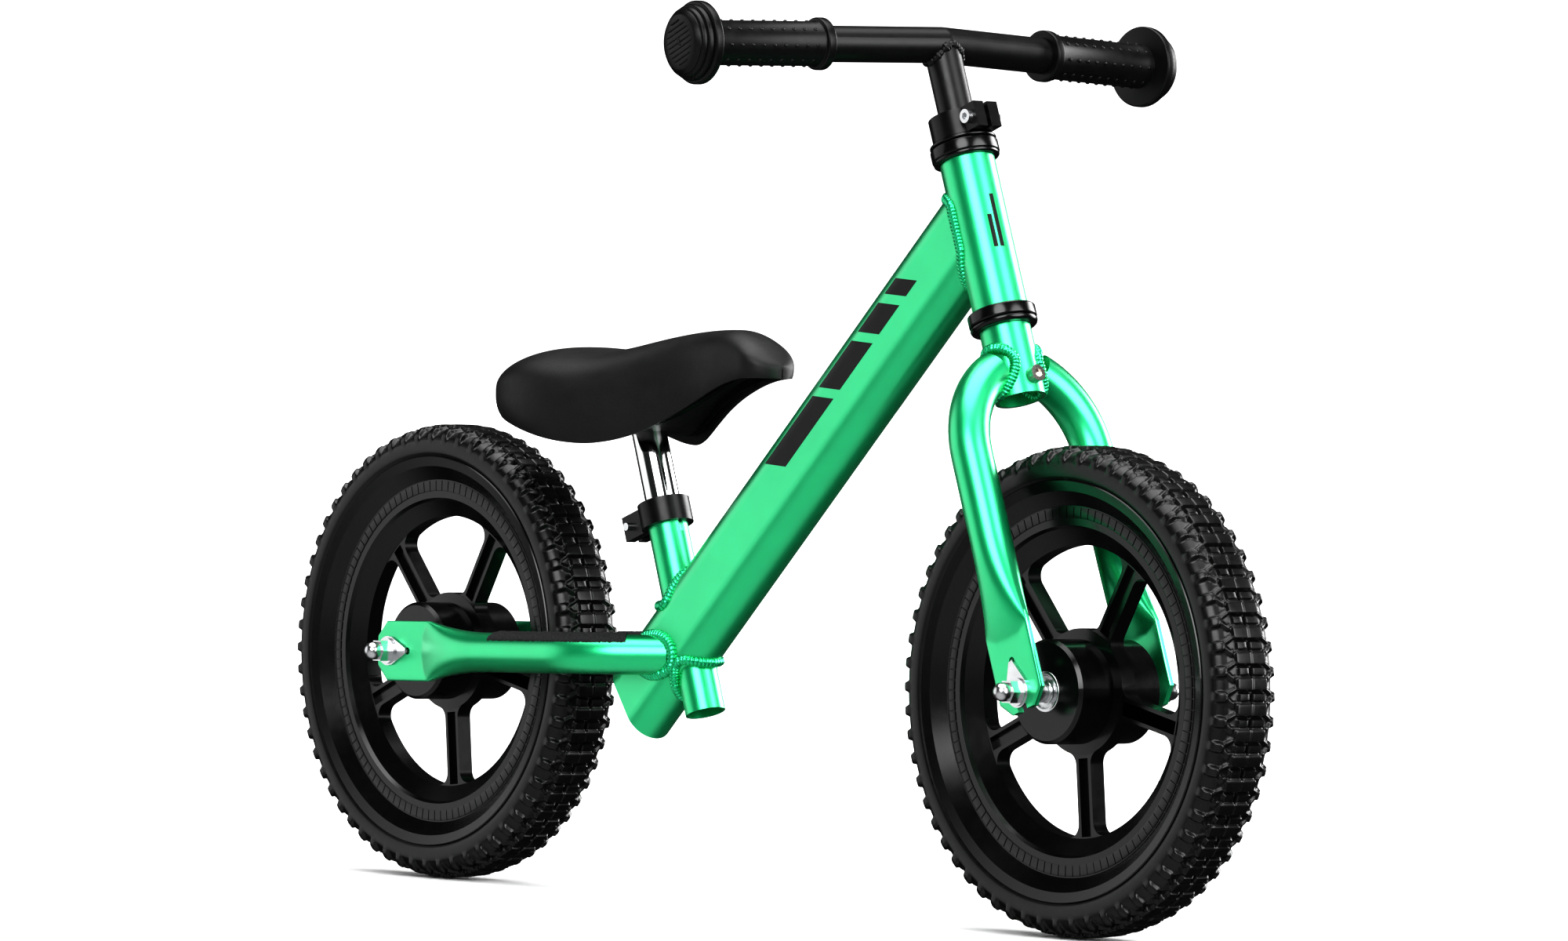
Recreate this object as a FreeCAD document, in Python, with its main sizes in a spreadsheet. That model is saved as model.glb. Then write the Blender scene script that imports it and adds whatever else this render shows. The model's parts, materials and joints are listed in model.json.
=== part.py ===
# Child's balance bike with foam tyres: welded frame, turning fork, height-adjustable bar and seat.
# Millimetres. X points forward, Y to the rider's left, Z up. The origin is on the ground, midway
# between the two wheel contacts.
import FreeCAD
import Part
import Sketcher
import math
import os
import re

from FreeCAD import Placement, Rotation, Vector

doc = FreeCAD.newDocument("balance_bike")
sheet = doc.addObject("Spreadsheet::Sheet", "dims")

SIZES = {
    # stance
    "wheelbase": 620,
    "wheel_radius": 147.5,
    "head_angle": 69,
    "seat_angle": 70,
    "stay_rise": 1.6,
    # head tube and headset, measured up the steering axis from the front axle
    "head_radius": 17,
    "head_bore": 15,
    "head_low": 243.2,
    "head_high": 340,
    "collar_radius": 21,
    "lower_cup_height": 8,
    "upper_cup_height": 10.3,
    "crown_race_height": 3.6,
    "top_race_height": 2.6,
    "cup_lip": 2.3,
    "race_gap": 0.4,
    "bearing_radius": 18.6,
    "bearing_height": 5,
    "cup_sleeve": 8,
    # fork
    "steerer_radius": 12.7,
    "steerer_bore": 11.15,
    "crown_radius": 15.75,
    "crown_low": 186,
    "crown_bolt_at": 196,
    "crown_mouth": 9,
    "crown_wall": 2.4,
    "crown_bolt_radius": 3,
    "crown_bolt_head": 5.2,
    "crown_bolt_depth": 5,
    "crown_socket": 2.9,
    "crown_nut_radius": 5.8,
    "blade_radius": 12.7,
    "blade_wall": 1.6,
    "blade_offset": 49,
    "blade_arc": 60,
    "blade_arc_low": 150,
    "blade_arc_angle": 70,
    "blade_taper_high": 98,
    "blade_taper_low": 44,
    # flattened ends of blades and stays
    "drop_inner": 49.5,
    "drop_plate": 4.5,
    "drop_half_height": 19.5,
    "drop_beyond": 11.5,
    "drop_chamfer": 9,
    "drop_slot_half": 4.1,
    "taper_waist_drop": 3.6,
    "taper_waist_thin": 4.5,
    "taper_waist_shift": 1.2,
    "tab_hole_at": 19.5,
    "tab_hole_radius": 2.4,
    # stem clamp, stem and bar
    "clamp_height": 16,
    "clamp_slot": 3,
    "clamp_bolt_radius": 2.5,
    "clamp_bolt_head": 4.3,
    "clamp_bolt_depth": 4,
    "clamp_socket": 2.3,
    "stem_clamp_radius": 18,
    "stem_clamp_ear": 27,
    "stem_clamp_ear_half": 9.5,
    "stem_clamp_bolt_at": 21,
    "stem_radius": 11.1,
    "stem_low": 271,
    "stem_wall": 1.8,
    "bar_at": 416.5,
    "bar_radius": 11.1,
    "bar_wall": 1.8,
    "bar_half": 190,
    "bar_sweep": 5.2,
    "grip_start": 88,
    "grip_end": 194,
    "grip_radius": 13.6,
    "grip_collar_radius": 16,
    "grip_collar": 6,
    "grip_flange_at": 177,
    "grip_flange": 6,
    "grip_flange_radius": 25.2,
    "grip_cap_radius": 18,
    "grip_step": 4,
    "grip_second_step": 3.5,
    # down tube, from its open rear end
    "down_angle": 43.9,
    "down_rear_x": -115,
    "down_rear_z": 123,
    "down_length": 445,
    "down_half_width": 16.5,
    "down_half_height": 28,
    "down_wall": 1.8,
    "down_cut_angle": 8,
    # seat tube and post, measured up the seat tube from its lower end
    "seat_low_x": -50.3,
    "seat_low_z": 118.5,
    "seat_tube_radius": 12.7,
    "seat_tube_bore": 11.15,
    "seat_tube_length": 139,
    "seat_slot": 22,
    "seat_slot_width": 3,
    "post_radius": 11.1,
    "post_wall": 1.6,
    "post_low": 32,
    "post_high": 204,
    "seat_clamp_low": 124,
    "seat_clamp_radius": 16.7,
    "seat_clamp_ear": 33,
    "seat_clamp_ear_half": 8.5,
    "seat_clamp_bolt_at": 26,
    # chain stays, from the rear axle
    "stay_taper_start": 36,
    "stay_taper_end": 98,
    "stay_bend_at": 170,
    "stay_bend": 60,
    "stay_bend_angle": 45,
    "stay_last_run": 30,
    "strip_start": 110,
    "strip_thickness": 1.5,
    "strip_floor": 8.5,
    # wheels, measured from the hub centre
    "tyre_half_width": 23.6,
    "tyre_seat_radius": 120.5,
    "flange_radius": 126.6,
    "flange_outer": 22.6,
    "flange_inner": 20.9,
    "step_radius": 120,
    "cone_radius": 111.4,
    "web_outer": 14.5,
    "lip_radius": 98,
    "window_radius": 88,
    "window_edge": 5.4,
    "rim_channel_half": 11.5,
    "rim_channel_floor": 101,
    "hub_radius": 31.5,
    "hub_half": 32.5,
    "hub_collar_radius": 38,
    "hub_collar_half": 6.4,
    "spoke_width": 13,
    "spoke_half": 5.2,
    "spoke_web_half": 1.5,
    "spoke_wall": 2.4,
    "spoke_turn": -6,
    "spoke_fillet": 8,
    "bearing_seat": 11,
    "bearing_width": 7,
    "bearing_rim": 12.4,
    "bearing_bore": 4.05,
    "hub_bore": 8,
    # axles and nuts
    "axle_radius": 4,
    "axle_half": 62,
    "bearing_lip": 1,
    "spacer_radius": 6.5,
    "spacer_gap": 0.3,
    "washer": 1.5,
    "washer_radius": 8.5,
    "tab_radius": 9.5,
    "nut_width": 13,
    "nut_height": 7,
    "dome_radius": 5.75,
    # saddle, x and z as in the whole bike
    "saddle_rear_x": -171,
    "saddle_rear_radius": 63,
    "saddle_nose_x": -3,
    "saddle_nose_radius": 20,
    "saddle_top": 347.5,
    "saddle_rise": 12.5,
    "saddle_nose_round": 22,
    "saddle_nose_droop": 0.0125,
    "saddle_rear_round": 20,
    "saddle_rear_droop": 0.011,
    "saddle_dip": 2.5,
    "saddle_dip_x": -125,
    "saddle_dip_reach": 30,
    "saddle_rim_low": 286,
    "saddle_rim_rear": 17,
    "saddle_rim_nose": 44,
    "saddle_rim_reach": 105,
    "saddle_rim_past_nose": 10,
    "saddle_skin": 9,
    "shell_wall": 3,
    "socket_low": 190,
    "socket_length": 40,
    "socket_wall": 3.4,
    "saddle_open": 80,
}

for row, (alias, value) in enumerate(SIZES.items(), start=1):
    sheet.set(f"A{row}", alias)
    sheet.set(f"B{row}", str(value))
    sheet.setAlias(f"B{row}", alias)
doc.recompute()

PIECES = []
STEEP = Rotation(Vector(1, 1, 1), 120)


def size(alias):
    """The value of one cell of the sheet."""
    return float(sheet.get(alias))


def cell(word):
    return "dims." + word.group() if word.group() in SIZES else word.group()


def cells(text):
    """An expression with each alias turned into a reference to its cell."""
    return re.sub(r"[a-z_]+", cell, str(text))


def bind(obj, **sizes):
    for name, text in sizes.items():
        obj.setExpression(name, cells(text))
    return obj


def move(obj, x=0, y=0, z=0, turn=None):
    """Place an object, its position bound to the sheet."""
    if turn is not None:
        obj.Placement = Placement(Vector(), turn)
    for name, text in (("x", x), ("y", y), ("z", z)):
        obj.setExpression("Placement.Base." + name, cells(text))
    return obj


ALONG = {"z": Rotation(), "x": Rotation(Vector(0, 1, 0), 90), "y": Rotation(Vector(1, 0, 0), -90)}


def rod(radius, length, x=0, y=0, z=0, along="z"):
    """A cylinder that starts at the given point and runs along an axis."""
    obj = doc.addObject("Part::Cylinder", "rod")
    bind(obj, Radius=radius, Height=length)
    return move(obj, x, y, z, ALONG[along])


def ring(outer, inner, length, x=0, y=0, z=0, along="z"):
    return cut(rod(outer, length, x, y, z, along), rod(inner, length, x, y, z, along))


def block(x_size, y_size, z_size, x=0, y=0, z=0):
    """A box centred on the given point in X and Y, standing on it in Z."""
    obj = doc.addObject("Part::Box", "block")
    bind(obj, Length=x_size, Width=y_size, Height=z_size)
    return move(obj, f"{x} - ({x_size}) / 2", f"{y} - ({y_size}) / 2", z)


def ball(radius, x=0, y=0, z=0):
    return move(bind(doc.addObject("Part::Sphere", "ball"), Radius=radius), x, y, z)


def hexagon(corner_radius, height):
    """A six-sided bar, sized across its corners' radius."""
    obj = doc.addObject("Part::Prism", "hexagon")
    return bind(obj, Polygon=6, Circumradius=corner_radius, Height=height)


def bend(path_radius, radius, angle, x=0, y=0, z=0, turn=None):
    """Part of a torus that starts on its own X axis."""
    obj = doc.addObject("Part::Torus", "bend")
    bind(obj, Radius1=path_radius, Radius2=radius, Angle3=angle)
    return move(obj, x, y, z, turn or Rotation())


def cut(base, *tools):
    for tool in tools:
        result = doc.addObject("Part::Cut", "cut")
        result.Base = base
        result.Tool = tool
        base = result
    return base


def fuse(*shapes):
    result = doc.addObject("Part::MultiFuse", "fuse")
    result.Shapes = list(shapes)
    result.Refine = True
    return result


def group(*shapes):
    result = doc.addObject("Part::Compound", "group")
    result.Links = list(shapes)
    return result


def mirrored(source):
    """The same shape on the other side of the bike's middle plane."""
    result = doc.addObject("Part::Mirroring", "mirrored")
    result.Source = source
    result.Normal = Vector(0, 1, 0)
    return result


def posed(obj, x=0, y=0, z=0, turn=None):
    """The object, already placed in a local frame, with that frame moved as a whole."""
    return move(group(obj), x, y, z, turn)


def leaning(obj, x, z, degrees, back=1):
    """A local frame turned about Y by an angle bound to the sheet, with its foot at x, z."""
    holder = group(obj)
    holder.Placement = Placement(Vector(), Rotation(Vector(0, -back, 0), 1))
    holder.setExpression("Placement.Rotation.Angle", cells(degrees))
    return move(holder, x, 0, z)


def on_steering_axis(obj):
    return leaning(obj, "wheelbase / 2", "wheel_radius", "90 - head_angle")


def on_seat_axis(obj):
    return leaning(obj, "seat_low_x", "seat_low_z", "90 - seat_angle")


def on_down_tube(obj):
    return leaning(obj, "down_rear_x", "down_rear_z", "90 - down_angle", back=-1)


def on_stay(obj):
    return leaning(obj, "-wheelbase / 2", "wheel_radius", "stay_rise")


def piece(obj, label):
    obj.Label = label
    PIECES.append(obj)
    return obj


# ---------------------------------------------------------------- sketches

def polygon(body, name, plane, points, offset=0):
    """A closed outline on one of the body's planes, every corner bound to the sheet."""
    sketch = body.newObject("Sketcher::SketchObject", name)
    role = [item for item in body.Origin.OriginFeatures if item.Role == plane][0]
    sketch.AttachmentSupport = [(role, "")]
    sketch.MapMode = "FlatFace"
    if offset:
        sketch.setExpression("AttachmentOffset.Base.z", cells(offset))
    count = len(points)
    for index in range(count):
        angle = 2 * math.pi * index / count
        turn = 2 * math.pi / count
        start = Vector(50 + 10 * math.cos(angle), 10 * math.sin(angle), 0)
        end = Vector(50 + 10 * math.cos(angle + turn), 10 * math.sin(angle + turn), 0)
        sketch.addGeometry(Part.LineSegment(start, end))
    for index in range(count):
        following = (index + 1) % count
        sketch.addConstraint(Sketcher.Constraint("Coincident", index, 2, following, 1))
    for index, (across, up) in enumerate(points):
        for kind, text in (("DistanceX", across), ("DistanceY", up)):
            number = sketch.addConstraint(Sketcher.Constraint(kind, -1, 1, index, 1, 1.0))
            sketch.setExpression(f"Constraints[{number}]", cells(text))
    return sketch


def circle(body, name, radius, offset=0):
    """A circle about the body's Z axis, its radius bound to the sheet."""
    sketch = body.newObject("Sketcher::SketchObject", name)
    role = [item for item in body.Origin.OriginFeatures if item.Role == "XY_Plane"][0]
    sketch.AttachmentSupport = [(role, "")]
    sketch.MapMode = "FlatFace"
    if offset:
        sketch.setExpression("AttachmentOffset.Base.z", cells(offset))
    sketch.addGeometry(Part.Circle(Vector(), Vector(0, 0, 1), 10))
    sketch.addConstraint(Sketcher.Constraint("Coincident", 0, 3, -1, 1))
    number = sketch.addConstraint(Sketcher.Constraint("Radius", 0, 10))
    sketch.setExpression(f"Constraints[{number}]", cells(radius))
    return sketch


def revolved(body, sketch):
    feature = body.newObject("PartDesign::Revolution", "turned")
    feature.Profile = sketch
    axis = [item for item in body.Origin.OriginFeatures if item.Role == "Z_Axis"][0]
    feature.ReferenceAxis = (axis, [""])
    feature.Angle = 360
    return feature


def pad_both_ways(body, sketch, length):
    feature = body.newObject("PartDesign::Pad", "pad")
    feature.Profile = sketch
    feature.Midplane = True
    return bind(feature, Length=length)


def pocket(body, sketch, length, reverse=False):
    feature = body.newObject("PartDesign::Pocket", "pocket")
    feature.Profile = sketch
    feature.Reversed = reverse
    return bind(feature, Length=length)


def five_fold(body, *features):
    pattern = body.newObject("PartDesign::PolarPattern", "five")
    pattern.Originals = list(features)
    axis = [item for item in body.Origin.OriginFeatures if item.Role == "Z_Axis"][0]
    pattern.Axis = (axis, [""])
    pattern.Angle = 360
    pattern.Occurrences = 5
    body.Tip = pattern
    return pattern


# ---------------------------------------------------------------- frame tubes

def head_tube_solid():
    return on_steering_axis(rod("head_radius", "head_high - head_low", z="head_low"))


def oval(half_width, half_height):
    """A flat-sided oval bar along Z: its height along X, its width along Y."""
    reach = f"({half_height} - {half_width})"
    start = "-drop_beyond"
    length = "down_length + drop_beyond"
    return fuse(
        block(f"2 * {reach}", f"2 * ({half_width})", length, z=start),
        rod(half_width, length, x=reach, z=start),
        rod(half_width, length, x=f"-{reach}", z=start),
    )


def down_tube_solid():
    """The oval's outside, its open rear end cut a few degrees off square."""
    bar = oval("down_half_width", "down_half_height")
    knife = posed(block(200, 100, 60, z=-60), turn=Rotation(Vector(0, 1, 0), size("down_cut_angle")))
    return on_down_tube(cut(bar, knife))


def seat_tube_solid():
    return on_seat_axis(rod("seat_tube_radius", "seat_tube_length"))


def make_frame():
    bore = on_steering_axis(rod("head_bore", "head_high - head_low", z="head_low"))
    piece(cut(head_tube_solid(), bore), "head_tube")

    hollow = on_down_tube(oval("down_half_width - down_wall", "down_half_height - down_wall"))
    ahead = on_steering_axis(block(100, 100, 300, x=50, z=150))
    shell = cut(down_tube_solid(), hollow, ahead, head_tube_solid(), seat_tube_solid())
    piece(shell, "down_tube")

    slot = block("seat_tube_radius", "seat_slot_width", "seat_slot", x="seat_tube_radius",
                 z="seat_tube_length - seat_slot")
    tube = cut(rod("seat_tube_radius", "seat_tube_length"), rod("seat_tube_bore", "seat_tube_length"), slot)
    piece(on_seat_axis(tube), "seat_tube")

    left = cut(on_stay(stay_tube()), down_tube_solid())
    piece(left, "chainstay_left")
    piece(mirrored(left), "chainstay_right")
    strip = cut(on_stay(grip_strip()), down_tube_solid())
    piece(strip, "foot_grip_left")
    piece(mirrored(strip), "foot_grip_right")


def ellipse(half_tall, half_thick, x, y, z, turn):
    obj = doc.addObject("Part::Ellipse", "section")
    bind(obj, MajorRadius=half_tall, MinorRadius=half_thick)
    return move(obj, x, y, z, turn)


def taper(sections):
    obj = doc.addObject("Part::Loft", "taper")
    obj.Sections = sections
    obj.Solid = True
    return obj


SLOT_ALONG = 30
TAPER_WAIST = ("drop_half_height - taper_waist_drop", "blade_radius - taper_waist_thin")
TAPER_WAIST_Y = "blade_offset + taper_waist_shift"


def dropout(plate_end, slot_along):
    """Flattened end of a tube, running along X from the axle: a plate with a slot and a tab hole."""
    middle = "drop_inner + drop_plate / 2"
    through = 4 * size("drop_plate")
    plate = block(f"{plate_end} + drop_beyond", "drop_plate", "2 * drop_half_height",
                  x=f"({plate_end} - drop_beyond) / 2", y=middle, z="-drop_half_height")
    corners = []
    side_of_square = "sqrt(2) * drop_chamfer"
    for side in (-1, 1):
        square = block(side_of_square, through, side_of_square, z=f"-({side_of_square}) / 2")
        corner = f"{side} * drop_half_height"
        corners.append(posed(square, "-drop_beyond", middle, corner, Rotation(Vector(0, 1, 0), 45)))
    slot = fuse(
        rod("drop_slot_half", through, y=f"{middle} - {through / 2}", along="y"),
        block(slot_along, through, "2 * drop_slot_half", x=-slot_along / 2, y=middle, z="-drop_slot_half"),
    )
    hole = rod("tab_hole_radius", through, x="tab_hole_at", y=f"{middle} - {through / 2}", along="y")
    return cut(plate, *corners, slot, hole)


def stay_tube():
    """Left chain stay along X from the rear axle, then bent in towards the down tube."""
    start, end = "stay_taper_start", "stay_taper_end"
    across = Rotation(Vector(0, 1, 0), -90)
    flat = ellipse("drop_half_height", "drop_plate / 2", start, "drop_inner + drop_plate / 2", 0, across)
    middle = ellipse(*TAPER_WAIST, f"({start} + {end}) / 2", TAPER_WAIST_Y, 0, across)
    round_end = ellipse("blade_radius", "blade_radius", end, "blade_offset", 0, across)
    outside = stay_run("blade_radius", end)
    inside = stay_run("blade_radius - blade_wall", f"{end} + 4")
    return fuse(dropout(start, SLOT_ALONG), taper([flat, middle, round_end]), cut(outside, inside))


def stay_run(radius, start):
    """Straight run, inward bend and last run of a stay as one solid bar."""
    pivot_y = "blade_offset - stay_bend"
    turned = size("stay_bend_angle")
    last = bind(doc.addObject("Part::Cylinder", "rod"), Radius=radius, Height="stay_last_run")
    last_x = "stay_bend_at + stay_bend * sin(stay_bend_angle)"
    last_y = f"{pivot_y} + stay_bend * cos(stay_bend_angle)"
    move(last, last_x, last_y, 0, Rotation(Vector(0, 0, 1), -turned) * ALONG["x"])
    start_of_bend = Rotation(Vector(0, 0, 1), 90 - turned)
    return fuse(
        rod(radius, f"stay_bend_at - ({start})", x=start, y="blade_offset", along="x"),
        bend("stay_bend", radius, "stay_bend_angle", "stay_bend_at", pivot_y, 0, start_of_bend),
        last,
    )


def grip_strip():
    """Gritty strip that wraps the top of a stay."""
    outer = stay_run("blade_radius + strip_thickness", "strip_start")
    below = block(400, 200, 40, x=150, y="blade_offset", z="strip_floor - 40")
    return cut(outer, stay_run("blade_radius", "strip_start - 10"), below)


# ---------------------------------------------------------------- headset

CROWN_HIGH = "(head_low - lower_cup_height - race_gap - crown_race_height)"
CLAMP_LOW = "(head_high + upper_cup_height + race_gap + top_race_height)"


def cup(low, height, up):
    """Headset cup in steering coordinates: flange, bearing pocket and a sleeve inside the head tube."""
    sleeve_low = "head_low" if up else "head_high - cup_sleeve"
    pocket_low = low if up else f"{low} + {height} - bearing_height - 1"
    body = fuse(
        rod("collar_radius", height, z=low),
        rod("head_bore", "cup_sleeve", z=sleeve_low),
    )
    return cut(
        body,
        rod("steerer_radius + 0.8", "head_high + 60", z=0),
        rod("bearing_radius", "bearing_height + 1", z=pocket_low),
    )


def make_headset():
    low_cup = "head_low - lower_cup_height"
    groove = ring("collar_radius + 1", "collar_radius - 0.8", 0.8, z="head_high + cup_lip")
    upper_cup = cut(cup("head_high", "upper_cup_height", False), groove)
    piece(on_steering_axis(cup(low_cup, "lower_cup_height", True)), "headset_lower_cup")
    piece(on_steering_axis(upper_cup), "headset_upper_cup")
    lower = ring("bearing_radius", "steerer_radius + 0.05", "bearing_height", z=f"{low_cup} + 1")
    upper = ring("bearing_radius", "steerer_radius + 0.05", "bearing_height",
                 z="head_high + upper_cup_height - bearing_height - 1")
    piece(on_steering_axis(lower), "headset_lower_bearing")
    piece(on_steering_axis(upper), "headset_upper_bearing")

    crown_race = ring("collar_radius", "steerer_radius", "crown_race_height", z=CROWN_HIGH)
    piece(on_steering_axis(crown_race), "headset_crown_race")
    cap_low = "head_high + upper_cup_height + race_gap"
    top_race = ring("collar_radius", "steerer_radius", "top_race_height", z=cap_low)
    piece(on_steering_axis(top_race), "headset_top_race")


# ---------------------------------------------------------------- fork


def blade_bar(radius, low):
    """Left fork blade as a solid bar: straight up, then curved in towards the crown."""
    return fuse(
        rod(radius, f"blade_arc_low - ({low})", y="blade_offset", z=low),
        bend("blade_arc", radius, "blade_arc_angle", 0, "blade_offset - blade_arc", "blade_arc_low", STEEP),
    )


def blade():
    """Left fork blade: dropout plate, taper, tube and the curved top, cut to the crown."""
    plate = dropout("blade_taper_low", SLOT_ALONG)
    upright = Rotation(Vector(0, 1, 0), -90)
    plate.Placement = Placement(Vector(), upright)
    low, high = "blade_taper_low", "blade_taper_high"
    flat = ellipse("drop_half_height", "drop_plate / 2", 0, "drop_inner + drop_plate / 2", low, Rotation())
    middle = ellipse(*TAPER_WAIST, 0, TAPER_WAIST_Y, f"({low} + {high}) / 2", Rotation())
    round_end = ellipse("blade_radius", "blade_radius", 0, "blade_offset", high, Rotation())
    tube = cut(blade_bar("blade_radius", "blade_taper_high"),
               blade_bar("blade_radius - blade_wall", "blade_taper_high + 4"))
    whole = fuse(plate, taper([flat, middle, round_end]), tube)
    other_side = block(100, 100, 200, y=-50, z="blade_arc_low")
    return cut(whole, rod("crown_radius", "head_low", z="crown_low - 20"), other_side)


def make_fork():
    left = on_steering_axis(blade())
    piece(left, "fork_blade_left")
    piece(mirrored(left), "fork_blade_right")

    outside = fuse(
        rod("crown_radius", f"{CROWN_HIGH} - crown_low", z="crown_low"),
        rod("steerer_radius", f"{CLAMP_LOW} + clamp_height - crown_low", z="crown_low"),
    )
    bore = rod("steerer_bore", "head_high + 100", z=0)
    mouth = rod("crown_radius - crown_wall", "crown_mouth", z="crown_low")
    far_back = "-2 * crown_radius"
    bolt_hole = rod("crown_bolt_radius", "4 * crown_radius", x=far_back, z="crown_bolt_at", along="x")
    piece(on_steering_axis(cut(outside, bore, mouth, bolt_hole)), "fork_steerer")

    depth = "crown_bolt_depth"
    head = rod("crown_bolt_head", depth, x="crown_radius", z="crown_bolt_at", along="x")
    socket = hexagon("crown_socket", depth)
    move(socket, f"crown_radius + {depth} / 2", 0, "crown_bolt_at", ALONG["x"])
    beyond = f"(crown_radius + {depth} + 1)"
    shank = rod("crown_bolt_radius", f"crown_radius + {beyond}", x=f"-{beyond}", z="crown_bolt_at", along="x")
    piece(on_steering_axis(fuse(cut(head, socket), shank)), "crown_bolt")
    nut = move(hexagon("crown_nut_radius", depth), f"-crown_radius - {depth}", 0, "crown_bolt_at", ALONG["x"])
    thread = rod("crown_bolt_radius", "2 * crown_radius", x=far_back, z="crown_bolt_at", along="x")
    piece(on_steering_axis(cut(nut, thread)), "crown_nut")


def split_clamp(name, bore, low):
    """A clamp ring with two ears in front, a slot between them and a bolt hole across."""
    radius, ear, half, bolt_at = [f"{name}_{part}" for part in ("radius", "ear", "ear_half", "bolt_at")]
    ears = block(ear, f"2 * {half}", "clamp_height", x=f"{ear} / 2", z=low)
    band = fuse(rod(radius, "clamp_height", z=low), ears)
    slot = block(ear, "clamp_slot", "clamp_height", x=f"{ear} / 2 + 5", z=low)
    middle = f"{low} + clamp_height / 2"
    hole = rod("clamp_bolt_radius", f"4 * {half}", x=bolt_at, y=f"-2 * {half}", z=middle, along="y")
    return cut(band, rod(bore, "clamp_height", z=low), slot, hole)


def clamp_bolt(name, low):
    """The bolt across a split clamp's ears, its socket head on the right."""
    half, bolt_at, middle = f"{name}_ear_half", f"{name}_bolt_at", f"{low} + clamp_height / 2"
    outside = f"-{half} - clamp_bolt_depth"
    head = rod("clamp_bolt_head", "clamp_bolt_depth", x=bolt_at, y=outside, z=middle, along="y")
    socket = move(hexagon("clamp_socket", "clamp_bolt_depth - 1.5"), bolt_at, outside, middle, ALONG["y"])
    through = f"2 * {half} + clamp_bolt_depth"
    shank = rod("clamp_bolt_radius", through, x=bolt_at, y=f"-{half}", z=middle, along="y")
    return fuse(cut(head, socket), shank)


def make_stem_clamp():
    piece(on_steering_axis(split_clamp("stem_clamp", "steerer_radius", CLAMP_LOW)), "stem_clamp")
    piece(on_steering_axis(clamp_bolt("stem_clamp", CLAMP_LOW)), "stem_clamp_bolt")


def make_seat_clamp():
    clamp = split_clamp("seat_clamp", "seat_tube_radius", "seat_clamp_low")
    bolt = clamp_bolt("seat_clamp", "seat_clamp_low")
    for shape, label in ((clamp, "seat_clamp"), (bolt, "seat_clamp_bolt")):
        backwards = posed(shape, turn=Rotation(Vector(0, 0, 1), 180))
        piece(on_seat_axis(backwards), label)


# ---------------------------------------------------------------- handlebar

SWEPT_LEFT = Rotation(Vector(0, 0, 1), size("bar_sweep")) * ALONG["y"]
SWEPT_RIGHT = Rotation(Vector(0, 0, 1), -size("bar_sweep")) * Rotation(Vector(1, 0, 0), 90)


def swept_rod(radius, start, length, side=1):
    """A cylinder along the left or right half of the bar."""
    obj = bind(doc.addObject("Part::Cylinder", "rod"), Radius=radius, Height=length)
    along = f"({start})"
    turn = SWEPT_LEFT if side > 0 else SWEPT_RIGHT
    return move(obj, f"-{along} * sin(bar_sweep)", f"{side} * {along} * cos(bar_sweep)", "bar_at", turn)


def crossbar_solid(radius):
    return fuse(
        swept_rod(radius, 0, "bar_half"),
        swept_rod(radius, 0, "bar_half", side=-1),
        ball(radius, z="bar_at"),
    )


def make_handlebar():
    bar = cut(crossbar_solid("bar_radius"), crossbar_solid("bar_radius - bar_wall"))
    piece(on_steering_axis(bar), "crossbar")
    stem = ring("stem_radius", "stem_radius - stem_wall", "bar_at - stem_low", z="stem_low")
    piece(on_steering_axis(cut(stem, crossbar_solid("bar_radius"))), "stem_tube")

    grip = on_steering_axis(grip_solid())
    piece(grip, "grip_left")
    piece(mirrored(grip), "grip_right")


def grip_solid():
    """Left rubber grip: collar, sleeve, wide flange and a stepped end cap, bored for the bar."""
    first, second = "grip_flange_at + grip_flange", "grip_flange_at + grip_flange + grip_step"
    rings = [
        swept_rod("grip_radius", "grip_start", "grip_end - grip_start - 1"),
        swept_rod("grip_collar_radius", "grip_start", "grip_collar"),
        swept_rod("grip_flange_radius", "grip_flange_at", "grip_flange"),
        swept_rod("grip_flange_radius - 3", first, "grip_step"),
        swept_rod("grip_flange_radius - 5", second, "grip_second_step"),
        swept_rod("grip_cap_radius", "grip_end - grip_second_step", "grip_second_step"),
    ]
    return cut(fuse(*rings), swept_rod("bar_radius", 0, "bar_half"))


# ---------------------------------------------------------------- seat

def saddle_half_width(x):
    """Half-width of the saddle from above: round rear, smooth waist and round nose."""
    rear_x, rear_radius = size("saddle_rear_x"), size("saddle_rear_radius")
    nose_x, nose_radius = size("saddle_nose_x"), size("saddle_nose_radius")
    if x < rear_x:
        return math.sqrt(max(rear_radius ** 2 - (x - rear_x) ** 2, 0))
    if x > nose_x:
        return math.sqrt(max(nose_radius ** 2 - (x - nose_x) ** 2, 0))
    share = min((x - rear_x) / (nose_x - rear_x) / 0.8, 1)
    return nose_radius + (rear_radius - nose_radius) * (0.5 + 0.5 * math.cos(math.pi * share))


def saddle_top(x):
    """Height of the saddle's crest: level at the rear, dipping, then rising to the nose."""
    nose_x, rear_x, dip_x = size("saddle_nose_x"), size("saddle_rear_x"), size("saddle_dip_x")
    low_x = dip_x - size("saddle_dip_reach")
    high_x = nose_x - size("saddle_nose_round")
    share = min(max((x - low_x) / (high_x - low_x), 0), 1)
    rise = size("saddle_rise") * (0.5 - 0.5 * math.cos(math.pi * share))
    nose_fall = max(x - high_x, 0) ** 2 * size("saddle_nose_droop")
    rear_fall = max(rear_x - size("saddle_rear_round") - x, 0) ** 2 * size("saddle_rear_droop")
    dip = size("saddle_dip") * math.exp(-((x - dip_x) / size("saddle_dip_reach")) ** 2)
    return size("saddle_top") + rise - nose_fall - rear_fall - dip


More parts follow.
